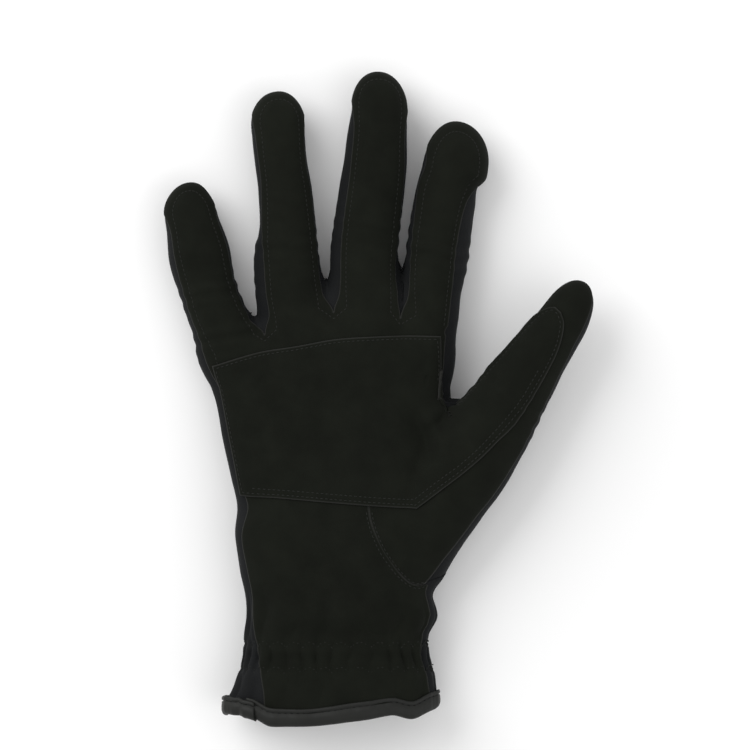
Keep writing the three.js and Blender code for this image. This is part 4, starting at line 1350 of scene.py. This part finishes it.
def suede_finish(colour):
    """Black synthetic suede: a short nap whose patches lie differently, with a painted highlight in paler colour
    along its cut edges.
    """
    f = Finish("black_suede")
    nap = f.noise(9, 4, 0.6)
    patches = f.noise(38, 2, 0.5)
    fibre = f.noise(0.35, 2, 0.7)
    shade = (nap * 0.55 + patches * 0.45 - 0.3) * 1.6
    surface = f.blend(shade.clamp(), scaled(colour, 0.72), scaled(colour, 1.5))
    # painted highlight: the colour turns paler within about 0.6 mm of the sheet's cut edges
    edge = (1 - f.attribute("edge") * 1.6).clamp()
    return f.set(
        Base_Color=f.blend(edge * (0.45 + 0.4 * nap), surface, chosen_colour("painted_edge_highlight")),
        Roughness=0.92 - 0.08 * nap,
        Specular_IOR_Level=0.08,
        Sheen_Weight=0.03,
        Sheen_Roughness=0.45,
        Sheen_Tint=scaled((1.0, 1.0, 0.98), 0.8),
        Normal=f.bump(fibre * 0.6 + nap * 0.4, 0.35, 0.25),
    )


def cloth_finish(colour):
    """Black stretch cloth with a cool sheen and a fine knit."""
    f = Finish("stretch_cloth")
    knit = f.noise(0.55, 2, 0.5)
    worn = f.noise(14, 3, 0.5)
    return f.set(
        Base_Color=f.blend(worn * 0.7 + knit * 0.3, scaled(colour, 0.8), scaled(colour, 1.45)),
        Roughness=0.8 - 0.12 * worn,
        Specular_IOR_Level=0.08,
        Sheen_Weight=0.025,
        Sheen_Roughness=0.4,
        Sheen_Tint=scaled((0.9, 0.96, 1.0), 0.85),
        Normal=f.bump(knit, 0.5, 0.25),
    )


def binding_finish(colour):
    """Smooth dark grey leather with a satin gloss and a fine grain."""
    f = Finish("smooth_binding")
    grain = f.node("ShaderNodeTexVoronoi", output="Distance", Vector=f.place(), Scale=1 / (0.7 * MM))
    soft = f.noise(5, 3, 0.5)
    return f.set(
        Base_Color=f.blend(soft, scaled(colour, 0.75), scaled(colour, 1.4)),
        Roughness=0.46 + 0.18 * soft,
        Specular_IOR_Level=0.22,
        Normal=f.bump(grain * 0.5 + soft * 0.8, 0.4, 0.2),
    )


def thread_finish(colour):
    """Matt thread."""
    f = Finish("sewing_thread")
    return f.set(
        Base_Color=f.blend(f.noise(0.8), scaled(colour, 0.8), colour), Roughness=0.8, Specular_IOR_Level=0.2
    )


def stage_finish(colour):
    """Plain pale paper."""
    f = Finish("pale_floor")
    return f.set(
        Base_Color=f.blend(f.noise(60), colour, scaled(colour, 1.01)), Roughness=0.95, Specular_IOR_Level=0.1
    )


def length_prop(name, description, millimetres):
    """A length that the sidebar shows."""
    return bpy.props.FloatProperty(
        name=name, description=description, default=millimetres * MM, min=0, precision=5, unit="LENGTH"
    )


def colour_prop(name, description, *levels):
    """A colour that the sidebar shows."""
    return bpy.props.FloatVectorProperty(
        name=name, description=description, subtype="COLOR", size=4, min=0, max=1, default=(*levels, 1.0)
    )


class GloveSizes(bpy.types.PropertyGroup):
    """Sizes of the leather, the stitches and the gathers."""

    suede_thickness: length_prop("Suede", "Thickness of the palm leather", 0.62)
    cloth_thickness: length_prop("Cloth", "Thickness of the back and of the strips between the fingers", 0.6)
    patch_thickness: length_prop("Patch", "Thickness of the reinforcement", 0.74)
    stitch_pitch: length_prop("Stitch pitch", "From stitch to stitch", 1.75)
    stitch_length: length_prop("Stitch length", "Length of one stitch", 1.28)
    stitch_width: length_prop("Stitch width", "Width of one stitch", 0.42)
    gather_height: length_prop("Gathers", "Height of the puffs that the elastic draws in the cuff", 1.9)


class GloveFinishes(bpy.types.PropertyGroup):
    """Colours of the glove's materials."""

    suede: colour_prop("Suede", "Colour of the palm leather", 0.0058, 0.0067, 0.0046)
    # painted highlight: the paler colour painted along the suede's cut edges
    painted_edge_highlight: colour_prop("Raw edge", "Colour of the palm leather's cut edges", 0.034, 0.034, 0.0323)
    cloth: colour_prop("Cloth", "Colour of the back and the strips between the fingers", 0.0064, 0.0069, 0.0073)
    binding: colour_prop("Binding", "Colour of the leather round the hem", 0.0085, 0.009, 0.0078)
    thread: colour_prop("Thread", "Colour of the stitches", 0.0125, 0.0135, 0.0115)
    # partly the thread's own dark colour, partly painted shade: near black, darker than the other thread, to paint
    # the dark line of the binding's groove
    dark_thread_and_groove_shade: colour_prop("Dark thread", "Colour of the stitches along the hem", 0.002, 0.002, 0.002)
    floor: colour_prop("Floor", "Colour of the surface it lies on", 0.86, 0.86, 0.86)


class GloveStage(bpy.types.PropertyGroup):
    """The camera and the lights."""

    camera_height: length_prop("Camera height", "Height of the camera over the floor", 1600)
    view_width: length_prop("View width", "Width that the camera sees at the glove", 277.5)
    light: bpy.props.FloatProperty(name="Light", description="Strength of all the lights", default=1.0, min=0)


def size(name):
    """One of the user's sizes, in millimetres."""
    return getattr(bpy.context.scene.glove_sizes, name) / MM


def chosen_colour(name):
    """One of the user's colours."""
    return tuple(getattr(bpy.context.scene.glove_finishes, name))


MATERIALS = {}


def material(name):
    """One of the glove's materials, made on first use from its colour."""
    makers = {
        "suede": suede_finish,
        "cloth": cloth_finish,
        "binding": binding_finish,
        "thread": thread_finish,
        "dark_thread_and_groove_shade": thread_finish,
        "floor": stage_finish,
    }
    if name not in MATERIALS:
        MATERIALS[name] = makers[name](chosen_colour(name))
    return MATERIALS[name]


class GLOVE_OT_palm(bpy.types.Operator):
    """Adds the palm leather with the fronts of the fingers"""

    bl_idname = "glove.palm"
    bl_label = "Palm leather"

    def execute(self, context):
        target, base = palm_front_grid()
        grids = [(target, base), *finger_grids(front_turns, target, base, False)]
        seams = np.vstack([finger_stitches()[0], thumb_stitches()[0]])
        sheet_piece("palm_panel", grids, "suede", "suede", seams)
        return {"FINISHED"}


class GLOVE_OT_back(bpy.types.Operator):
    """Adds the back of stretch cloth with the backs of the fingers"""

    bl_idname = "glove.back"
    bl_label = "Back"

    def execute(self, context):
        target, base = palm_back_grid()
        grids = [(target, base), *finger_grids(back_turns, target, base, True)]
        sheet_piece("back_panel", grids, "back", "cloth")
        return {"FINISHED"}


class GLOVE_OT_thumb(bpy.types.Operator):
    """Adds the front and the back of the thumb"""

    bl_idname = "glove.thumb"
    bl_label = "Thumb"

    def execute(self, context):
        sheet_piece("thumb_front", [thumb_front_grid()], "suede", "suede", thumb_stitches()[0])
        sheet_piece("thumb_back", [thumb_back_grid()], "cloth", "cloth", lowest=0.5)
        return {"FINISHED"}


class GLOVE_OT_fourchettes(bpy.types.Operator):
    """Adds the strips between the fingers"""

    bl_idname = "glove.fourchettes"
    bl_label = "Strips between the fingers"

    def execute(self, context):
        for k in (1, 2, 3):
            node = f"fourchette_{FINGERS[k - 1]}_{FINGERS[k]}"
            sheet_piece(node, [fourchette_grid(k)], "cloth", "cloth", lowest=0.7)
        return {"FINISHED"}


class GLOVE_OT_patch(bpy.types.Operator):
    """Adds the reinforcement on the palm and the thumb"""

    bl_idname = "glove.patch"
    bl_label = "Patch"

    def execute(self, context):
        sheet_piece("palm_patch", [patch_grid()], "patch", "suede", patch_stitches()[0])
        return {"FINISHED"}


class GLOVE_OT_binding(bpy.types.Operator):
    """Adds the leather folded over the hem"""

    bl_idname = "glove.binding"
    bl_label = "Binding"

    def execute(self, context):
        points, faces, caps = binding_mesh()
        piece = add_mesh("sewn_cuff_binding", points, faces)
        shape = bmesh.new()
        shape.from_mesh(piece.data)
        shape.verts.ensure_lookup_table()
        for cap in caps:
            shape.faces.new([shape.verts[i] for i in cap])
        bmesh.ops.recalc_face_normals(shape, faces=shape.faces)
        shape.to_mesh(piece.data)
        shape.free()
        finish(piece, material("binding"), "cuff_binding")
        return {"FINISHED"}


class GLOVE_OT_stitches(bpy.types.Operator):
    """Adds the rows of stitches"""

    bl_idname = "glove.stitches"
    bl_label = "Stitches"

    def execute(self, context):
        stitch_piece("finger_stitches", *finger_stitches())
        stitch_piece("patch_stitches", *patch_stitches())
        stitch_piece("thumb_stitches", *thumb_stitches())
        stitch_piece("elastic_stitches", *elastic_stitches())
        # the hem's stitches take the near-black thread that also paints the shade of the binding's groove
        finish(add_mesh("hem_stitches", *hem_stitches()), material("dark_thread_and_groove_shade"), None)
        return {"FINISHED"}


class GLOVE_OT_stage(bpy.types.Operator):
    """Adds the floor, the lights and the camera"""

    bl_idname = "glove.stage"
    bl_label = "Stage"

    def execute(self, context):
        scene = context.scene
        stage = scene.glove_stage
        bpy.ops.mesh.primitive_plane_add(size=6, location=(0, 0, 0))
        floor = context.object
        floor.name = "floor"
        floor.data.materials.append(material("floor"))
        scene.world = bpy.data.worlds.new("studio")
        scene.world.use_nodes = True
        sky = scene.world.node_tree.nodes["Background"]
        sky.inputs["Color"].default_value = (1, 1, 1, 1)
        sky.inputs["Strength"].default_value = SKY_LIGHT * stage.light
        for name, place, width, power in LIGHTS:
            data = bpy.data.lights.new(name, "AREA")
            data.size = width
            data.energy = power * stage.light
            lamp = bpy.data.objects.new(name, data)
            lamp.location = place
            lamp.rotation_euler = (-Vector(place)).to_track_quat("-Z", "Y").to_euler()
            scene.collection.objects.link(lamp)
        camera = bpy.data.objects.new("camera", bpy.data.cameras.new("camera"))
        camera.data.lens = camera.data.sensor_width * (stage.camera_height - VIEW_LEVEL) / stage.view_width
        camera.location = (*to_frame(np.array(VIEW_CENTRE))[:2], stage.camera_height)
        camera.data.clip_end = 10
        scene.collection.objects.link(camera)
        scene.camera = camera
        scene.view_settings.view_transform = "Standard"
        return {"FINISHED"}


class GLOVE_PT_sidebar(bpy.types.Panel):
    """Lists the sizes, the colours and the steps that build the glove"""

    bl_idname = "GLOVE_PT_sidebar"
    bl_label = "Riding glove"
    bl_space_type = "VIEW_3D"
    bl_region_type = "UI"
    bl_category = "Glove"

    def draw(self, context):
        scene = context.scene
        for group in (scene.glove_sizes, scene.glove_finishes, scene.glove_stage):
            for name in group.__annotations__:
                self.layout.prop(group, name)
        for step in STEPS:
            self.layout.operator("glove." + step)


CLASSES = (
    GloveSizes,
    GloveFinishes,
    GloveStage,
    GLOVE_OT_palm,
    GLOVE_OT_back,
    GLOVE_OT_thumb,
    GLOVE_OT_fourchettes,
    GLOVE_OT_patch,
    GLOVE_OT_binding,
    GLOVE_OT_stitches,
    GLOVE_OT_stage,
    GLOVE_PT_sidebar,
)


def register():
    for cls in CLASSES:
        bpy.utils.register_class(cls)
    bpy.types.Scene.glove_sizes = bpy.props.PointerProperty(type=GloveSizes)
    bpy.types.Scene.glove_finishes = bpy.props.PointerProperty(type=GloveFinishes)
    bpy.types.Scene.glove_stage = bpy.props.PointerProperty(type=GloveStage)


def unregister():
    del bpy.types.Scene.glove_stage
    del bpy.types.Scene.glove_finishes
    del bpy.types.Scene.glove_sizes
    for cls in reversed(CLASSES):
        bpy.utils.unregister_class(cls)


def main():
    register()
    for step in STEPS:
        getattr(bpy.ops.glove, step)()


if __name__ == "__main__":
    main()
